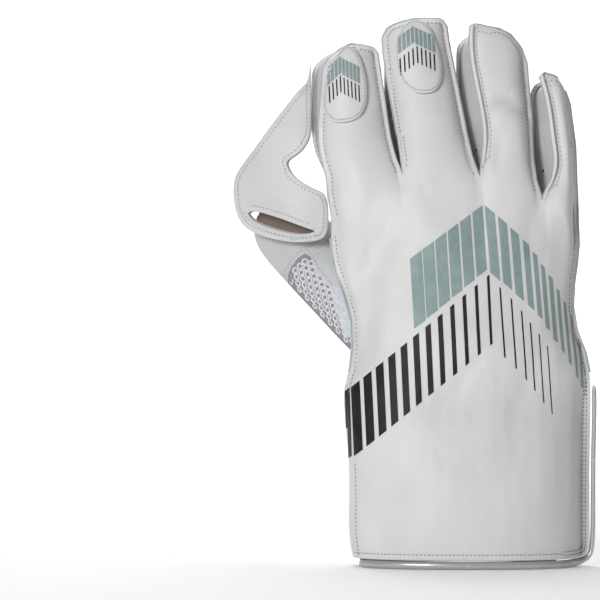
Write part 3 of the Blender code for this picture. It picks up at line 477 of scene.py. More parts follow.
def back_shift(co, normal):
    """A shift for moved: the hollows, and a slow and a fine unevenness."""
    slow = noise.noise(Vector((co.x * SWELL_SCALE, 0, co.z * SWELL_SCALE))) * SWELL
    fine = abs(noise.noise(Vector((co.x * UNEVEN_ACROSS, 3, co.z * UNEVEN_UP)))) * UNEVEN
    return Vector((0, hollow(co.x, co.z) + slow + fine, 0))


CALM = (
    # px, py, half width, half height in pixels: where the leather lies smooth below the finger gaps
    (404, 222, 30, 46),
    (480, 224, 32, 50),
    (543, 250, 24, 54),
)
EDGE_ON = 0.4
CALM_ROUNDS = 220


def calmed(mesh):
    """Evens out the leather below the finger gaps, where the solid keeps sharp ridges."""
    shape = bmesh.new()
    shape.from_mesh(mesh)
    chosen = []
    for vertex in shape.verts:
        if abs(vertex.normal.y) < EDGE_ON:
            continue
        for px, py, wide, high in CALM:
            x, z = spot(px, py)
            if math.hypot((vertex.co.x - x) / (wide * PIXEL), (vertex.co.z - z) / (high * PIXEL)) < 1:
                chosen.append(vertex)
                break
    for _ in range(CALM_ROUNDS):
        bmesh.ops.smooth_vert(shape, verts=chosen, factor=0.5, use_axis_y=True)
    shape.to_mesh(mesh)
    shape.free()


back_mesh = soft_mesh("back_leather", 2)
calmed(back_mesh)
moved(back_mesh, back_shift)
lined(back_mesh, white_leather, -1)
back = finished("hand_back", back_mesh, white_leather, "white_leather", "back_leather")
back_tree = tree(back)
print("back", len(back.data.polygons), "faces")

# %% [markdown]
# The palm-side cuff is quilted: foam lies under the leather, and rows of stitching pull it down into
# channels. The distance from each point to the nearest sewn line gives the puff between the lines.

# %% Quilted cuff
PALM_PIXEL = 0.000642
PALM_RIM = (232, 555)


def palm_spot(px, py):
    """Across and up for a pixel of the other glove's palm, which the photograph shows beside this one."""
    return spot(*RIM_PIXEL)[0] + (px - PALM_RIM[0]) * PALM_PIXEL, (PALM_RIM[1] - py) * PALM_PIXEL


QUILTING = (
    # the two long rows, then the slanted rows that rise towards the middle: from px, py, to px, py
    (112, 436, 356, 443),
    (112, 511, 356, 512),
    (115.7, 477, 139, 439),
    (123, 504, 165.7, 439),
    (149, 507.5, 201.4, 437),
    (182, 506.6, 233.6, 439),
    (217.5, 509, 244.3, 475),
    (244.3, 475, 264, 511),
    (248, 441, 296, 513),
    (278, 439, 323, 513),
    (308.6, 447, 346, 511),
    (332, 449, 348, 477),
)
SEWN_ROWS = [(palm_spot(a, b), palm_spot(c, d)) for a, b, c, d in QUILTING]
CHANNEL, CHANNEL_WIDTH = 0.0021, 0.0022
PUFF, PUFF_WIDTH = 0.0012, 0.0085
INSIDE_SHARE = 0.35  # of the channels shows on the side that the hand touches
SIDE_FROM, SIDE_OVER = 0.004, 0.012  # the channels fade in over this depth
CUFF_UNEVEN, CUFF_SCALE = 0.0004, 40


def row_distance(x, z, row):
    """How far a place is from a sewn row."""
    (ax, az), (bx, bz) = row
    dx, dz = bx - ax, bz - az
    share = min(max(((x - ax) * dx + (z - az) * dz) / (dx * dx + dz * dz), 0.0), 1.0)
    return math.hypot(x - ax - share * dx, z - az - share * dz)


def cuff_shift(co, normal):
    """A shift for moved: sewn channels with padding between them."""
    near = min(row_distance(co.x, co.z, row) for row in SEWN_ROWS)
    channel = CHANNEL * bell(near, CHANNEL_WIDTH) - PUFF * (1 - bell(near, PUFF_WIDTH))
    outer = 1.0 if normal.y > 0 else INSIDE_SHARE
    side = min(1.0, max(0.0, (co.y - SIDE_FROM) / SIDE_OVER))
    uneven = noise.noise(Vector((co.x * CUFF_SCALE, 9, co.z * CUFF_SCALE))) * CUFF_UNEVEN
    return Vector((0, -channel * outer * side + uneven, 0))


cuff_mesh = soft_mesh("palm_cuff", 3)
moved(cuff_mesh, cuff_shift)
lined(cuff_mesh, white_leather, 1)
cuff = finished("cuff_pad", cuff_mesh, white_leather, "white_leather", "palm_cuff")
cuff_tree = tree(cuff)
print("cuff", len(cuff.data.polygons), "faces")

# %% [markdown]
# The rubber palm creases where the hand closes: one long fold under the fingers, a fan below it, and an
# arc round the thumb's mound.

# %% Palm
CREASES = (
    # straight parts of the creases, in pixels of the other glove's palm: from px, py, to px, py
    (115, 199, 138, 193),
    (138, 193, 176, 188),
    (176, 188, 230, 190),
    (230, 190, 292, 204),
    (150, 214, 210, 206),
    (165, 232, 235, 218),
    (153, 290, 185, 300),
    (185, 300, 203, 330),
    (203, 330, 190, 372),
    (236, 255, 306, 236),
    (250, 330, 318, 322),
)
FOLDS = [(palm_spot(a, b), palm_spot(c, d)) for a, b, c, d in CREASES]
FOLD, FOLD_WIDTH = 0.0022, 0.0026
RIDGE, RIDGE_PLACE, RIDGE_WIDTH = 0.0010, 0.006, 0.004
PALM_UNEVEN, PALM_SCALE = 0.0008, 35


def palm_shift(co, normal):
    """A shift for moved: folds with a low ridge beside each."""
    near = min(row_distance(co.x, co.z, row) for row in FOLDS)
    fold = FOLD * bell(near, FOLD_WIDTH) - RIDGE * bell(near - RIDGE_PLACE, RIDGE_WIDTH)
    uneven = noise.noise(Vector((co.x * PALM_SCALE, 4, co.z * PALM_SCALE))) * PALM_UNEVEN
    return Vector((0, -fold + uneven, 0))


palm_mesh = soft_mesh("palm_rubber", 2)
moved(palm_mesh, palm_shift)
lined(palm_mesh, rubber.material, 1)
palm = finished("palm", palm_mesh, rubber.material, "pimpled_rubber", "palm_rubber")
wrist = finished("wrist_corner", soft_mesh("wrist_suede", 2), suede.material, "soft_leather", "wrist_suede")
print("palm", len(palm.data.polygons), "faces")

# %% [markdown]
# The finger walls, the thumb, the web, the tip caps and the piping follow their solids closely, so they
# only need rounding and a little unevenness.


# %% Walls, thumb, web, caps and piping
def wrinkled(scale, height):
    """A shift for moved: slow waves of the given height."""

    def shift(co, normal):
        return Vector((0, noise.noise(co * scale) * height, 0))

    return shift


CORD_ROUNDS = 8


def eased(mesh, rounds):
    """Evens out the small bumps of a mesh."""
    shape = bmesh.new()
    shape.from_mesh(mesh)
    for _ in range(rounds):
        bmesh.ops.smooth_vert(
            shape, verts=shape.verts, factor=0.5, use_axis_x=True, use_axis_y=True, use_axis_z=True
        )
    shape.to_mesh(mesh)
    shape.free()


walls = {}
for node in (
    "gusset_index_side",
    "gusset_index_middle",
    "gusset_middle_ring",
    "gusset_ring_little",
    "gusset_little_side",
):
    mesh = soft_mesh(node, 2)
    walls[node] = finished(node.replace("gusset", "wall"), mesh, grey_leather, "white_leather", node)

thumb_mesh = soft_mesh("thumb_rubber", 2)
moved(thumb_mesh, wrinkled(60, 0.0006))
thumb = finished("thumb_front", thumb_mesh, rubber.material, "pimpled_rubber", "thumb_rubber")
# The thumb's leather is darkened as painted shade.
thumb_cap = finished("thumb_tip", soft_mesh("thumb_leather", 2), thumb_shaded_hide, "white_leather", "thumb_leather")

web_mesh = soft_mesh("web_leather", 2)
moved(web_mesh, wrinkled(45, 0.0009))
# The web's leather is darkened as painted shade.
web = finished("web_front", web_mesh, web_shaded_hide, "white_leather", "web_leather")
web_back_mesh = soft_mesh("web_rubber", 2)
moved(web_back_mesh, wrinkled(45, 0.0009))
web_back = finished("web_back", web_back_mesh, rubber.material, "pimpled_rubber", "web_rubber")

caps = [
    finished(
        node.replace("patch", "cap"), soft_mesh(node, 2, crease=0.7), white_leather, "white_leather", node
    )
    for node in ("patch_index", "patch_middle")
]
for node in ("piping_back", "piping_palm"):
    cord_mesh = soft_mesh(node, 2, crease=0.0)
    eased(cord_mesh, CORD_ROUNDS)
    finished(node.replace("piping", "cord"), cord_mesh, silver.material, "silver_piping", node)

# %% [markdown]
# The thumb's back is an open air mesh. Its panel is the dark backing, and the knitted net is laid on it
# further down, with the same function as the rubber's rings.

# %% Air mesh backing
mesh_panel = soft_mesh("thumb_mesh", 2)
air = finished("thumb_air_mesh", mesh_panel, mesh_dark.material, "spacer_mesh", "thumb_mesh")
print("air mesh", len(air.data.polygons), "faces")

# %% [markdown]
# Every seam is sewn by machine, with a stitch about every 2.5 mm, 3 mm inside the edge. The edges are
# already in the solids, so the thread can find its own way: the rim of a panel is walked edge by edge,
# moved inwards, and a small rounded stitch is laid on the surface at each step.


# %% Stitches
RIM_ANGLE = 40
LEAST_FACING = 0.2


def rim_chains(node, facing):
    """The outer edge of a panel, as runs of points with the direction towards the panel's middle."""
    shape = quads(node)
    links = {}
    for edge in shape.edges:
        if not edge.is_manifold or edge.calc_face_angle() < math.radians(RIM_ANGLE):
            continue
        outer = [face for face in edge.link_faces if face.normal.y * facing > LEAST_FACING]
        if len(outer) != 1:
            continue
        a, b = edge.verts
        ahead = (b.co - a.co).normalized()
        inward = outer[0].calc_center_median() - (a.co + b.co) / 2
        inward = (inward - ahead * inward.dot(ahead)).normalized()
        for this, other in ((a, b), (b, a)):
            links.setdefault(this.index, []).append((other.index, inward))
    points = {vertex.index: vertex.co.copy() for vertex in shape.verts}
    shape.free()
    used, chains = set(), []
    starts = sorted(links, key=lambda k: (len(links[k]) == 2, k))
    for start in starts:
        if start in used:
            continue
        chain, here = [start], start
        used.add(start)
        inwards = [links[start][0][1]]
        while True:
            step = [(k, inward) for k, inward in links[here] if k not in used]
            if not step:
                break
            here, inward = step[0]
            used.add(here)
            chain.append(here)
            inwards.append(inward)
        closed = len(chain) > 2 and any(k == chain[0] for k, _ in links[here])
        if closed:
            chain.append(chain[0])
            inwards.append(inwards[0])
        if len(chain) > 2:
            chains.append([(points[k], inward) for k, inward in zip(chain, inwards)])
    return chains


def stepped(chain, pitch):
    """Even steps along a run of points: place, direction ahead and direction inwards."""
    made, over = [], 0.0
    for (a, inward_a), (b, inward_b) in zip(chain, chain[1:]):
        length = (b - a).length
        while over < length:
            share = over / length
            made.append((a.lerp(b, share), (b - a).normalized(), inward_a.lerp(inward_b, share).normalized()))
            over += pitch
        over -= length
    return made


STITCH_PITCH = 0.0025
STITCH_LENGTH = 0.0014
STITCH_SIZE = 0.00036
STITCH_SHAPE = ((-0.5, 0.35), (-0.3, 1.0), (0.3, 1.0), (0.5, 0.35))
STITCH_SIDES = 6
STITCH_PROUD = 0.45  # of its size, between the surface and the middle of a stitch
STITCH_REACH = 0.004


def sewn(tree_, places, out):
    """Adds a stitch at each place, laid on the surface. Each place has a point and a direction."""
    for place, ahead in places:
        hit, normal, _, distance = tree_.find_nearest(place)
        if hit is None or distance > STITCH_REACH:
            continue
        ahead = (ahead - normal * ahead.dot(normal)).normalized()
        side = normal.cross(ahead)
        base = len(out[0])
        raised = hit + normal * STITCH_SIZE * STITCH_PROUD
        for end, share in STITCH_SHAPE:
            for k in range(STITCH_SIDES):
                angle = 2 * math.pi * k / STITCH_SIDES
                round_ = side * math.cos(angle) + normal * math.sin(angle)
                out[0].append(raised + ahead * STITCH_LENGTH * end + round_ * STITCH_SIZE * share)
        bands(base, len(STITCH_SHAPE), STITCH_SIDES, out[1])
        last = len(out[0]) - STITCH_SIDES
        out[1].append(tuple(base + k for k in reversed(range(STITCH_SIDES))))
        out[1].append(tuple(last + k for k in range(STITCH_SIDES)))


EDGE_PROBE = 0.0012
SAME_SURFACE = 0.0035
NEAR_SURFACE = 0.006


def sewn_rim(node, facing, tree_, inset, out, keep=lambda co: True, pitch=STITCH_PITCH):
    """Sews along the edge of a panel, wherever its surface really ends for someone facing it."""
    for chain in rim_chains(node, facing):
        places = []
        for place, ahead, inward in stepped(chain, pitch):
            flat = Vector((inward.x, 0, inward.z))
            if not keep(place) or flat.length < LEAST_FACING:
                continue
            flat.normalize()
            beyond, _ = cast(tree_, place.x - flat.x * EDGE_PROBE, place.z - flat.z * EDGE_PROBE, facing)
            if beyond is not None and abs(beyond.y - place.y) < SAME_SURFACE:
                continue
            hit, _ = cast(tree_, place.x + flat.x * inset, place.z + flat.z * inset, facing)
            if hit is not None and abs(hit.y - place.y) < NEAR_SURFACE:
                places.append((hit, ahead))
        sewn(tree_, places, out)


dark_thread, light_thread = ([], []), ([], [])
cuff_top = spot(0, 380)[1]
right_side = spot(560, 0)[0]
near_rim = 0.012
HAND_INSET, WELT_INSET, SIDE_INSETS, RIM_INSET = 0.0032, 0.0044, (0.0024, 0.0046), 0.0035


def on_welt(co):
    """True beside the two proud seams, on the thumb's side of the ring and little fingers."""
    (left, top), (right, bottom) = spot(468, 15), spot(490, 172)
    ring = left < co.x < right and bottom < co.z < top
    (left, top), (right, bottom) = spot(538, 60), spot(562, 198)
    return ring or (left < co.x < right and bottom < co.z < top)


def on_hand(co):
    """True above the cuff, away from the proud seams."""
    return co.z > cuff_top - 0.01 and not on_welt(co)


sewn_rim("back_leather", -1, back_tree, HAND_INSET, dark_thread, on_hand)
sewn_rim("back_leather", -1, back_tree, WELT_INSET, light_thread, on_welt)
for inset in SIDE_INSETS:
    sewn_rim(
        "back_leather", -1, back_tree, inset, dark_thread, lambda co: co.z < cuff_top and co.x > right_side
    )
sewn_rim(
    "back_leather", -1, back_tree, RIM_INSET, dark_thread, lambda co: co.z < near_rim and co.x < right_side
)
STITCH_POINTS = len(STITCH_SHAPE) * STITCH_SIDES
print("stitches on the back", len(dark_thread[0]) // STITCH_POINTS)

# %% [markdown]
# A thin blue-grey welt cord is caught in the seam round the back of each finger, and shows as a fine line
# beside the panel's edge. It is a tube that follows the same edge as the stitches do.


# %% Welt cord
WELT_SIZE = 0.0006
WELT_DEPTH = 0.0010
WELT_OUT = 0.0001
WELT_PITCH = 0.0016
WELT_SIDES = 6


def welted(node, facing, keep, out):
    """A thin cord along the rim of a panel, half sunk into the side of it."""
    for chain in rim_chains(node, facing):
        run = []
        for place, ahead, inward in stepped(chain, WELT_PITCH):
            if keep(place):
                outward = Vector((-inward.x * WELT_OUT, -facing * WELT_DEPTH, -inward.z * WELT_OUT))
                run.append((place + outward, ahead))
            else:
                tubed(run, out)
                run = []
        tubed(run, out)


def tubed(run, out):
    """Adds a tube through a run of points."""
    if len(run) < 3:
        return
    base = len(out[0])
    for place, ahead in run:
        side = ahead.cross(Vector((0, 1, 0))).normalized()
        up = side.cross(ahead)
        for k in range(WELT_SIDES):
            angle = 2 * math.pi * k / WELT_SIDES
            out[0].append(place + (side * math.cos(angle) + up * math.sin(angle)) * WELT_SIZE)
    bands(base, len(run), WELT_SIDES, out[1])


welt = ([], [])
welted("back_leather", -1, lambda co: co.z > cuff_top + 0.004, welt)
drawn_piece("welt_back", welt, welt_finish.material)
print("welt points", len(welt[0]))

# %% [markdown]
# The cuff's quilting rows, the tip caps and the web are sewn in the same way. The quilting follows the
# table of sewn rows from above, cast onto the padded surface from behind.


# %% More stitches
def sewn_row(tree_, a, b, facing, out, pitch=STITCH_PITCH):
    """Sews a straight row between two places, each across and up."""
    length = math.hypot(b[0] - a[0], b[1] - a[1])
    places = []
    for k in range(int(length / pitch)):
        share = (k + 0.5) * pitch / length
        x, z = a[0] + (b[0] - a[0]) * share, a[1] + (b[1] - a[1]) * share
        hit, _ = cast(tree_, x, z, facing)
        if hit is not None:
            places.append((hit, Vector((b[0] - a[0], 0, b[1] - a[1])).normalized()))
    sewn(tree_, places, out)


OUTLINE_STEP = 4
FARTHEST = 60


def outline_row(tree_, first, last, px, step, inset):
    """Places a little inside a panel's outline, found by stepping in from beside it. All in pixels."""
    row = []
    for py in range(first, last + 1, OUTLINE_STEP):
        here = px
        while cast(tree_, *spot(here, py), -1)[0] is None and abs(here - px) < FARTHEST:
            here += step
        row.append(spot(here + math.copysign(inset, step), py))
    return row


for row in (outline_row(back_tree, 205, 373, 602, -0.5, 5), outline_row(back_tree, 462, 554, 330, 0.5, 6)):
    for a, b in zip(row, row[1:]):
        sewn_row(back_tree, a, b, -1, dark_thread, 0.0024)
for row in SEWN_ROWS:
    sewn_row(cuff_tree, *row, 1, dark_thread)
for height in (388, 398, 550):
    left, right = palm_spot(116, height), palm_spot(352, height)
    sewn_row(cuff_tree, left, right, 1, dark_thread)
for cap, node in zip(caps, ("patch_index", "patch_middle")):
    sewn_rim(node, -1, tree(cap), 0.0017, light_thread, pitch=0.0021)
web_tree = tree(web)
sewn_rim("web_leather", -1, web_tree, 0.0030, light_thread)
drawn_piece("stitching_dark", dark_thread, thread.material)
drawn_piece("stitching_pale", light_thread, pale_thread.material)
print("stitches", (len(dark_thread[0]) + len(light_thread[0])) // STITCH_POINTS)

# %% [markdown]
# The rubber's grip comes from small raised rings with a dimple, set in a tight honeycomb. Each one is
# five rings of points, up over a round lip and down again into the dimple. They are cast onto the palm,
# the thumb and the back of the web.

# %% Rubber rings
RING_PITCH = 0.0037
HONEYCOMB = 0.866
RING_FACING = 0.30
RING_DROP = 1.5  # in pitches, beyond which a neighbour lies past an edge
RING_PROFILE = ((1.62, -0.05), (1.42, 0.40), (1.10, 0.52), (0.78, 0.40), (0.55, -0.05))


def ring_places(tree_, low, high, turn, pitch, facing):
    """Honeycomb places where a surface faces forwards or backwards, away from its edges."""
    found = []
    middle = ((low[0] + high[0]) / 2, (low[1] + high[1]) / 2)
    reach = math.hypot(high[0] - low[0], high[1] - low[1]) / 2
    c, s = math.cos(turn), math.sin(turn)
    rows = int(reach / (pitch * HONEYCOMB))
    for row in range(-rows, rows + 1):
        for k in range(-int(reach / pitch), int(reach / pitch) + 1):
            a, b = (k + 0.5 * (row % 2)) * pitch, row * pitch * HONEYCOMB
            x, z = middle[0] + a * c - b * s, middle[1] + a * s + b * c
            if not (low[0] < x < high[0] and low[1] < z < high[1]):
                continue
            hit, normal = cast(tree_, x, z, facing)
            if hit is None or normal.y * facing < RING_FACING:
                continue
            nears = [
                cast(tree_, x + dx * pitch / 2, z + dz * pitch / 2, facing)[0]
                for dx, dz in ((1, 0), (-1, 0), (0, 1), (0, -1))
            ]
            if all(near is not None and abs(near.y - hit.y) < RING_DROP * pitch for near in nears):
                found.append((hit, normal))
    return found


def ringed(
    name, surfaces, node, turn, finish, slot, profile=RING_PROFILE, pitch=RING_PITCH, sides=8, facing=1
):
    """A field of small rings. The profile lists each ring's radius and height in millimetres."""
    low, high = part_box(node)
    low, high = (low.x - pitch, low.z), (high.x, high.z)
    points, faces = [], []
    for hit, normal in ring_places(tree(*surfaces), low, high, turn, pitch, facing):
        ahead = Vector((math.cos(turn), 0, math.sin(turn)))
        side = (ahead - normal * ahead.dot(normal)).normalized()
        up = side.cross(normal)
        base = len(points)
        for radius, height in profile:
            for k in range(sides):
                angle = 2 * math.pi * (k + 0.5) / sides
                round_ = side * math.cos(angle) + up * math.sin(angle)
                points.append(hit + normal * height * MM + round_ * radius * MM)
        bands(base, len(profile), sides, faces)
    print(name, len(points) // (sides * len(profile)), "rings")
    return drawn_piece(name, (points, faces), finish, slot)


ringed("palm_rings", (palm,), "palm_rubber", 0.0, ring_rubber.material, "pimpled_rubber")
ringed("thumb_rings", (thumb,), "thumb_rubber", 0.4, ring_rubber.material, "pimpled_rubber")
ringed("web_rings", (web_back,), "web_rubber", 0.2, ring_rubber.material, "pimpled_rubber")

# %% [markdown]
# The air mesh ends in a round corner, beside it the thumb's leather hangs down in a curved tongue, and a
# narrow strip of suede closes the gap to the back of the hand. Behind the web's slot the rubber reaches
# round the thumb, darkened as painted shade. Each is a strip between two rows of pixels, laid on what is
# below it.


# %% Tongue, suede strip and rubber edge
def resampled(row, count):
    """Evenly numbered points along a row of pixels."""
    places = np.linspace(0, len(row) - 1, count)
    numbers = np.arange(len(row))
    return np.column_stack([np.interp(places, numbers, [point[k] for point in row]) for k in (0, 1)])


SUNK, SUNK_ROUNDS = 0.0012, 4
SHOULDER = 0.6
TURNED_DOWN = -0.0002


def laid_strip(name, left, right, tree_, lift, finish, slot, rows=26, columns=14):
    """A strip between two rows of pixels, raised by lift over what is below, with its long edges down."""
    points, faces, numbers = [], [], {}
    for row, (a, b) in enumerate(zip(resampled(left, rows), resampled(right, rows))):
        for k in range(columns + 1):
            px, py = a + (b - a) * k / columns
            hit, normal = cast(tree_, *spot(px, py), -1)
            if hit is not None:
                numbers[row, k] = len(points)
                raised = lift * (SHOULDER if k in (1, columns - 1) else 1.0)
                if k in (0, columns):
                    raised = TURNED_DOWN
                points.append(tuple(hit + normal * raised))
    # where a ray went down a gap, the strip is brought up to its neighbours
    for _ in range(SUNK_ROUNDS):
        for (row, k), number in numbers.items():
            sides = [numbers.get(c) for c in ((row - 1, k), (row + 1, k), (row, k - 1), (row, k + 1))]
            front = min(points[side][1] for side in sides if side is not None)
            if points[number][1] > front + SUNK:
                points[number] = (points[number][0], front + SUNK / 2, points[number][2])
    patched(numbers, rows - 1, columns, faces)
    print(name, len(faces), "faces")
    return drawn_piece(name, (points, faces), finish, slot)


TONGUE_EDGE = ((301, 252), (309, 256), (315, 270), (324, 282), (331, 289), (334, 296))
TONGUE_ROOT = ((326, 238), (336, 252), (341, 266), (344, 276), (346, 284), (347, 292))
TONGUE_SEAM = (
    # round the upper left of the air mesh, then down the tongue's edge
    *((284, 280), (284, 272), (289, 262), (296, 254), (304, 249)),
    *((311, 253), (318, 267), (328, 280), (335, 288)),
)
CORNER_OUT = ((304, 253), (297, 258), (291, 266), (287.5, 274), (287.5, 282))
CORNER_IN = ((320, 262), (312, 269), (305, 276), (299, 282), (293, 288))
STRIP_LEFT = ((330, 287), (333, 300), (337, 314), (341, 326), (345, 337))
STRIP_RIGHT = ((348, 287), (350, 300), (352, 314), (353, 326), (353, 337))
SLOT_TOP = ((246, 205), (262, 208), (284, 213), (306, 218), (320, 222))
SLOT_LOW = ((250, 226), (264, 230), (284, 234), (304, 237), (318, 237))
thumb_tree = tree(thumb_cap, air, thumb)
corner = laid_strip(
    "air_mesh_corner", CORNER_OUT, CORNER_IN, thumb_tree, 0.0004, mesh_dark.material, "spacer_mesh"
)
# The tongue shares the thumb's darker leather, which is painted shade.
tongue = laid_strip(
    "thumb_tongue", TONGUE_EDGE, TONGUE_ROOT, thumb_tree, 0.0010, thumb_shaded_hide, "white_leather"
)
laid_strip("suede_strip", STRIP_LEFT, STRIP_RIGHT, thumb_tree, 0.0012, suede.material, "soft_leather")
# Behind the slot the rubber is painted dark, as shade.
laid_strip(
    "thumb_rubber_edge", SLOT_LOW, SLOT_TOP, thumb_tree, 0.0006, slot_shade_rubber.material, "pimpled_rubber"
)
tongue_tree = tree(thumb_cap, tongue)
tongue_thread = ([], [])
for a, b in zip(TONGUE_SEAM, TONGUE_SEAM[1:]):
    sewn_row(tongue_tree, spot(*a), spot(*b), -1, tongue_thread, 0.0022)
drawn_piece("stitching_thumb", tongue_thread, pale_thread.material)

# %% [markdown]
# The air mesh on the thumb's back is knitted in a honeycomb. Six-sided rings that touch each other make
# the knitted net, and the darker panel below shows through the middle of each one.

# %% Air mesh net
MESH_PITCH = 0.0040
MESH_PROFILE = ((2.31, 0.05), (2.15, 0.42), (1.55, 0.46), (1.28, -0.05))
ringed(
    "thumb_net",
    (air, corner),
    "thumb_mesh",
    0.75,
    air_mesh.material,
    "spacer_mesh",
    profile=MESH_PROFILE,
    pitch=MESH_PITCH,
    sides=6,
    facing=-1,
)

# %% [markdown]
# Two small vent holes sit in the finger walls, each a turned rim round a black disc that is painted shade for
# the hole.

# %% Vent holes
VENTS = ((476.5, 150.5), (543.5, 171.0))
VENT_PROFILE = ((1.7, 0.0), (1.5, 0.35), (1.1, 0.35), (1.0, 0.05))
VENT_SIDES = 12
wall_tree = tree(*walls.values())
points, faces, dark = [], [], []
for px, py in VENTS:
    hit, normal = cast(wall_tree, *spot(px, py), -1)
    if hit is None:
        continue
    side = normal.orthogonal().normalized()
    up = normal.cross(side)
    base = len(points)
    for radius, height in VENT_PROFILE:
        for k in range(VENT_SIDES):
            angle = 2 * math.pi * k / VENT_SIDES
            round_ = side * math.cos(angle) + up * math.sin(angle)
            points.append(hit + normal * height * MM + round_ * radius * MM)
    bands(base, len(VENT_PROFILE), VENT_SIDES, faces)
    # The rim's middle is closed by a disc, painted shade for the hole.
    dark.append(len(faces))
    faces.append(tuple(len(points) - VENT_SIDES + k for k in range(VENT_SIDES)))
vents = drawn_piece("vent_holes", (points, faces), grey_leather)
# The discs take the black film finish as painted shade.
vents.data.materials.append(black_film_and_vent_shade)
for k in dark:
    vents.data.polygons[k].material_index = 1
print("vent holes", len(dark))

# %% [markdown]
# The printed bars are a thin heat-pressed film. Each bar is a small grid of points cast onto the leather,
# a fifth of a millimetre proud, so the print bends with every hollow. Two rows of bars make a plain
# chevron that points up, and the finger caps carry small copies of it.

# %% Print
FILM = 0.00018
CELL_ACROSS, CELL_DOWN = 1.6, 2.2  # pixels in a cell of a bar's grid


def bar(x, width, top, height, slope, lean, out, tree_):
    """One slanted bar, in pixels. Top is at its left edge, and slope is the drop per pixel to the right."""
    across, down = max(2, round(width / CELL_ACROSS)), max(4, round(height / CELL_DOWN))
    numbers = {}
    for row in range(down + 1):
        for k in range(across + 1):
            u, v = k / across, row / down
            px = x + width * u + lean * v
            hit, normal = cast(tree_, *spot(px, top + slope * width * u + height * v), -1)
            if hit is not None:
                numbers[row, k] = len(out[0])
                out[0].append(hit + normal * FILM)
    patched(numbers, down, across, out[1])


teal, black = ([], []), ([], [])
APEX = (481.6, 205.5)
TEAL_RISE, TEAL_FALL = 0.738, 0.85
BLACK_RISE, BLACK_FALL = 0.82, 0.9
for k in range(6):
    x = 408.7 + 12.35 * k
    bar(x, 11.4 - 0.26 * k, APEX[1] + (APEX[0] - x) * TEAL_RISE, 69 - k, -TEAL_RISE, 4, teal, back_tree)
TEAL_RIGHT = (
    # left edge, width, top, height
    (482.9, 9.8, 206, 67),
    (495.7, 8.9, 217, 66),
    (507.8, 8.5, 228, 66),
    (520.3, 6.4, 240, 65),
    (530.0, 4.8, 252, 63),
    (538.0, 4.3, 264, 63),
    (546.0, 4.3, 275, 64),
    (554.0, 3.5, 288, 62),
    (561.4, 3.1, 301, 61),
    (569.0, 2.6, 314, 62),
)
for x, width, top, height in TEAL_RIGHT:
    bar(x, width, top, height, TEAL_FALL, 5, teal, back_tree)
bar(577.5, 3.0, 338, 48, TEAL_FALL, 2, teal, back_tree)
bar(344.8, 4.8, 391, 68, -BLACK_RISE, 2, black, back_tree)
for k in range(12):
    x = 350.7 + 12.15 * k
    bar(x, 8.6 - 0.55 * k, 387 - 10.0 * k, 68, -BLACK_RISE, 3, black, back_tree)
BLACK_RIGHT = (
    # left edge, width, top, height
    (496.6, 1.7, 287, 69),
    (507.8, 1.6, 298, 69),
    (518.0, 1.5, 310, 68),
    (526.7, 1.4, 322, 67),
    (535.6, 1.2, 333, 68),
    (544.0, 1.1, 345, 67),
)
for x, width, top, height in BLACK_RIGHT:
    bar(x, width, top, height, BLACK_FALL, 4.5, black, back_tree)


CAP_BARS, CAP_HEIGHT = 9, 17
TEAL_SHARE, BLACK_SHARE = 0.78, 0.33


def cap_print(tree_, left, right, apex, fall, black_apex):
    """The small chevron on a finger cap. Fall is how steep it is on the left and on the right."""
    pitch = (right - left) / CAP_BARS
    for k in range(CAP_BARS):
        x = left + pitch * k
        middle = x + pitch * 0.4
        side = fall[0] if middle < apex[0] else fall[1]
        top = apex[1] + abs(middle - apex[0]) * side
        slope = -side if middle < apex[0] else side
        bar(x, pitch * TEAL_SHARE, top, CAP_HEIGHT, slope, 0.6, teal, tree_)
        top = black_apex[1] + abs(middle + 1 - black_apex[0]) * side
        bar(x + 1.5, pitch * BLACK_SHARE, top, CAP_HEIGHT, slope, 0.8, black, tree_)


cap_print(tree(caps[0]), 327.0, 360.0, (341, 58), (0.90, 0.5), (341, 77))
cap_print(tree(caps[1]), 397.5, 435.5, (414, 27), (0.75, 0.45), (417, 47))
drawn_piece("print_teal", teal, teal_film)
drawn_piece("print_black", black, black_film_and_vent_shade)
print("print faces", len(teal[1]) + len(black[1]))
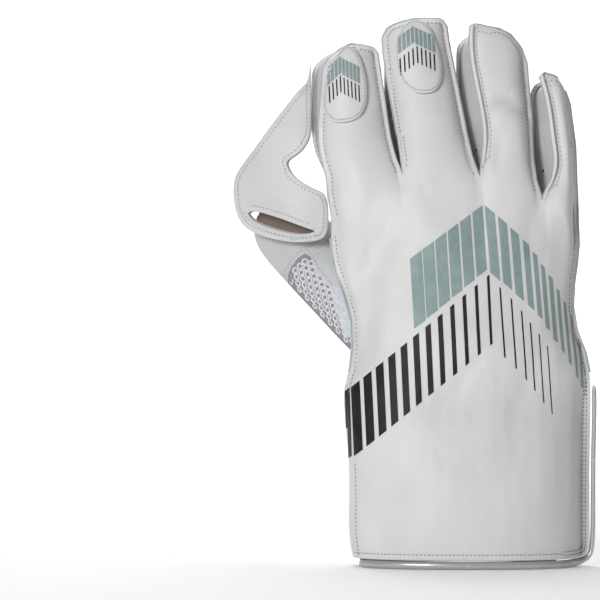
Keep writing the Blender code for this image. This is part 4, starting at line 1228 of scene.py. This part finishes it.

# %% [markdown]
# A pale floor curves up into a backdrop. The lights are big and soft: the main one in front on the left,
# as the photograph's shading shows, a weak one on the right, one above, one behind and one for the paper.

# %% Floor and lights
# The paper glows faintly with its own light: painted light that keeps it white.
paper = Finish("paper_finish", 0.95, Emission_Color=(1.0, 1.0, 1.0, 1.0), Emission_Strength=0.12)
paper.feed("Base Color", paper.mix(paper.noise(2.0), (0.86, 0.86, 0.86), (0.88, 0.88, 0.88)))
FRONT, FLAT_TO, TOP = -6.0, 2.8, 5.0
HALF_WIDTH, BELOW_RIM = 6, 0.0002
BEND, BEND_PARTS = 1.2, 8
SWEEP = [(FRONT, 0.0), (FLAT_TO, 0.0)]
for k in range(1, BEND_PARTS + 1):
    turn = math.pi / 2 * k / BEND_PARTS
    SWEEP.append((FLAT_TO + BEND * math.sin(turn), BEND - BEND * math.cos(turn)))
SWEEP.append((FLAT_TO + BEND, TOP))
mesh = bpy.data.meshes.new("paper_floor")
mesh.from_pydata(
    [(x, y, z - BELOW_RIM) for y, z in SWEEP for x in (-HALF_WIDTH, HALF_WIDTH)],
    [],
    [(2 * k, 2 * k + 1, 2 * k + 3, 2 * k + 2) for k in range(len(SWEEP) - 1)],
)
mesh.materials.append(paper.material)
mesh.shade_smooth()
floor = bpy.data.objects.new("paper_floor", mesh)
bpy.context.scene.collection.objects.link(floor)


def lamp(name, place, size, power, target=CENTRE):
    """A square light at a place, turned towards the target."""
    light = bpy.data.lights.new(name, "AREA")
    light.shape, light.size, light.energy = "SQUARE", size, power
    made = bpy.data.objects.new(name, light)
    bpy.context.scene.collection.objects.link(made)
    made.location = place
    made.rotation_euler = (Vector(target) - Vector(place)).to_track_quat("-Z", "Y").to_euler()


lamp("main_light", (-1.15, -2.35, 0.85), 0.7, 42)
lamp("fill_light", (1.9, -1.8, 0.7), 1.6, 0.6)
lamp("top_light", (0.0, 0.6, 2.4), 1.6, 24)
lamp("back_light", (-0.9, 1.9, 1.4), 1.2, 14)
lamp("backdrop_light", (0.0, 2.3, 2.4), 1.6, 60, (0.0, 3.8, 0.3))
world = bpy.data.worlds.new("studio")
bpy.context.scene.world = world
world.use_nodes = True
sky = world.node_tree.nodes["Background"].inputs
sky["Color"].default_value = (1.0, 1.0, 1.0, 1.0)
sky["Strength"].default_value = 0.15
bpy.context.scene.view_settings.view_transform = "Standard"

# %% [markdown]
# The photograph looks straight at the back of the hand through a long lens, so the camera stands far
# away, and its lens is set so that one pixel is 0.61 mm at the glove.

# %% Camera
IMAGE = 600
CAMERA_AWAY = 2.6
SENSOR = 36.0
camera = bpy.data.objects.new("camera", bpy.data.cameras.new("camera"))
bpy.context.scene.collection.objects.link(camera)
across, up = spot(IMAGE / 2, IMAGE / 2)
camera.location = (across, -CAMERA_AWAY, up)
camera.rotation_euler = (math.pi / 2, 0, 0)
camera.data.sensor_width = SENSOR
camera.data.lens = SENSOR * CAMERA_AWAY / (IMAGE * PIXEL)
camera.data.clip_end = 50
bpy.context.scene.camera = camera
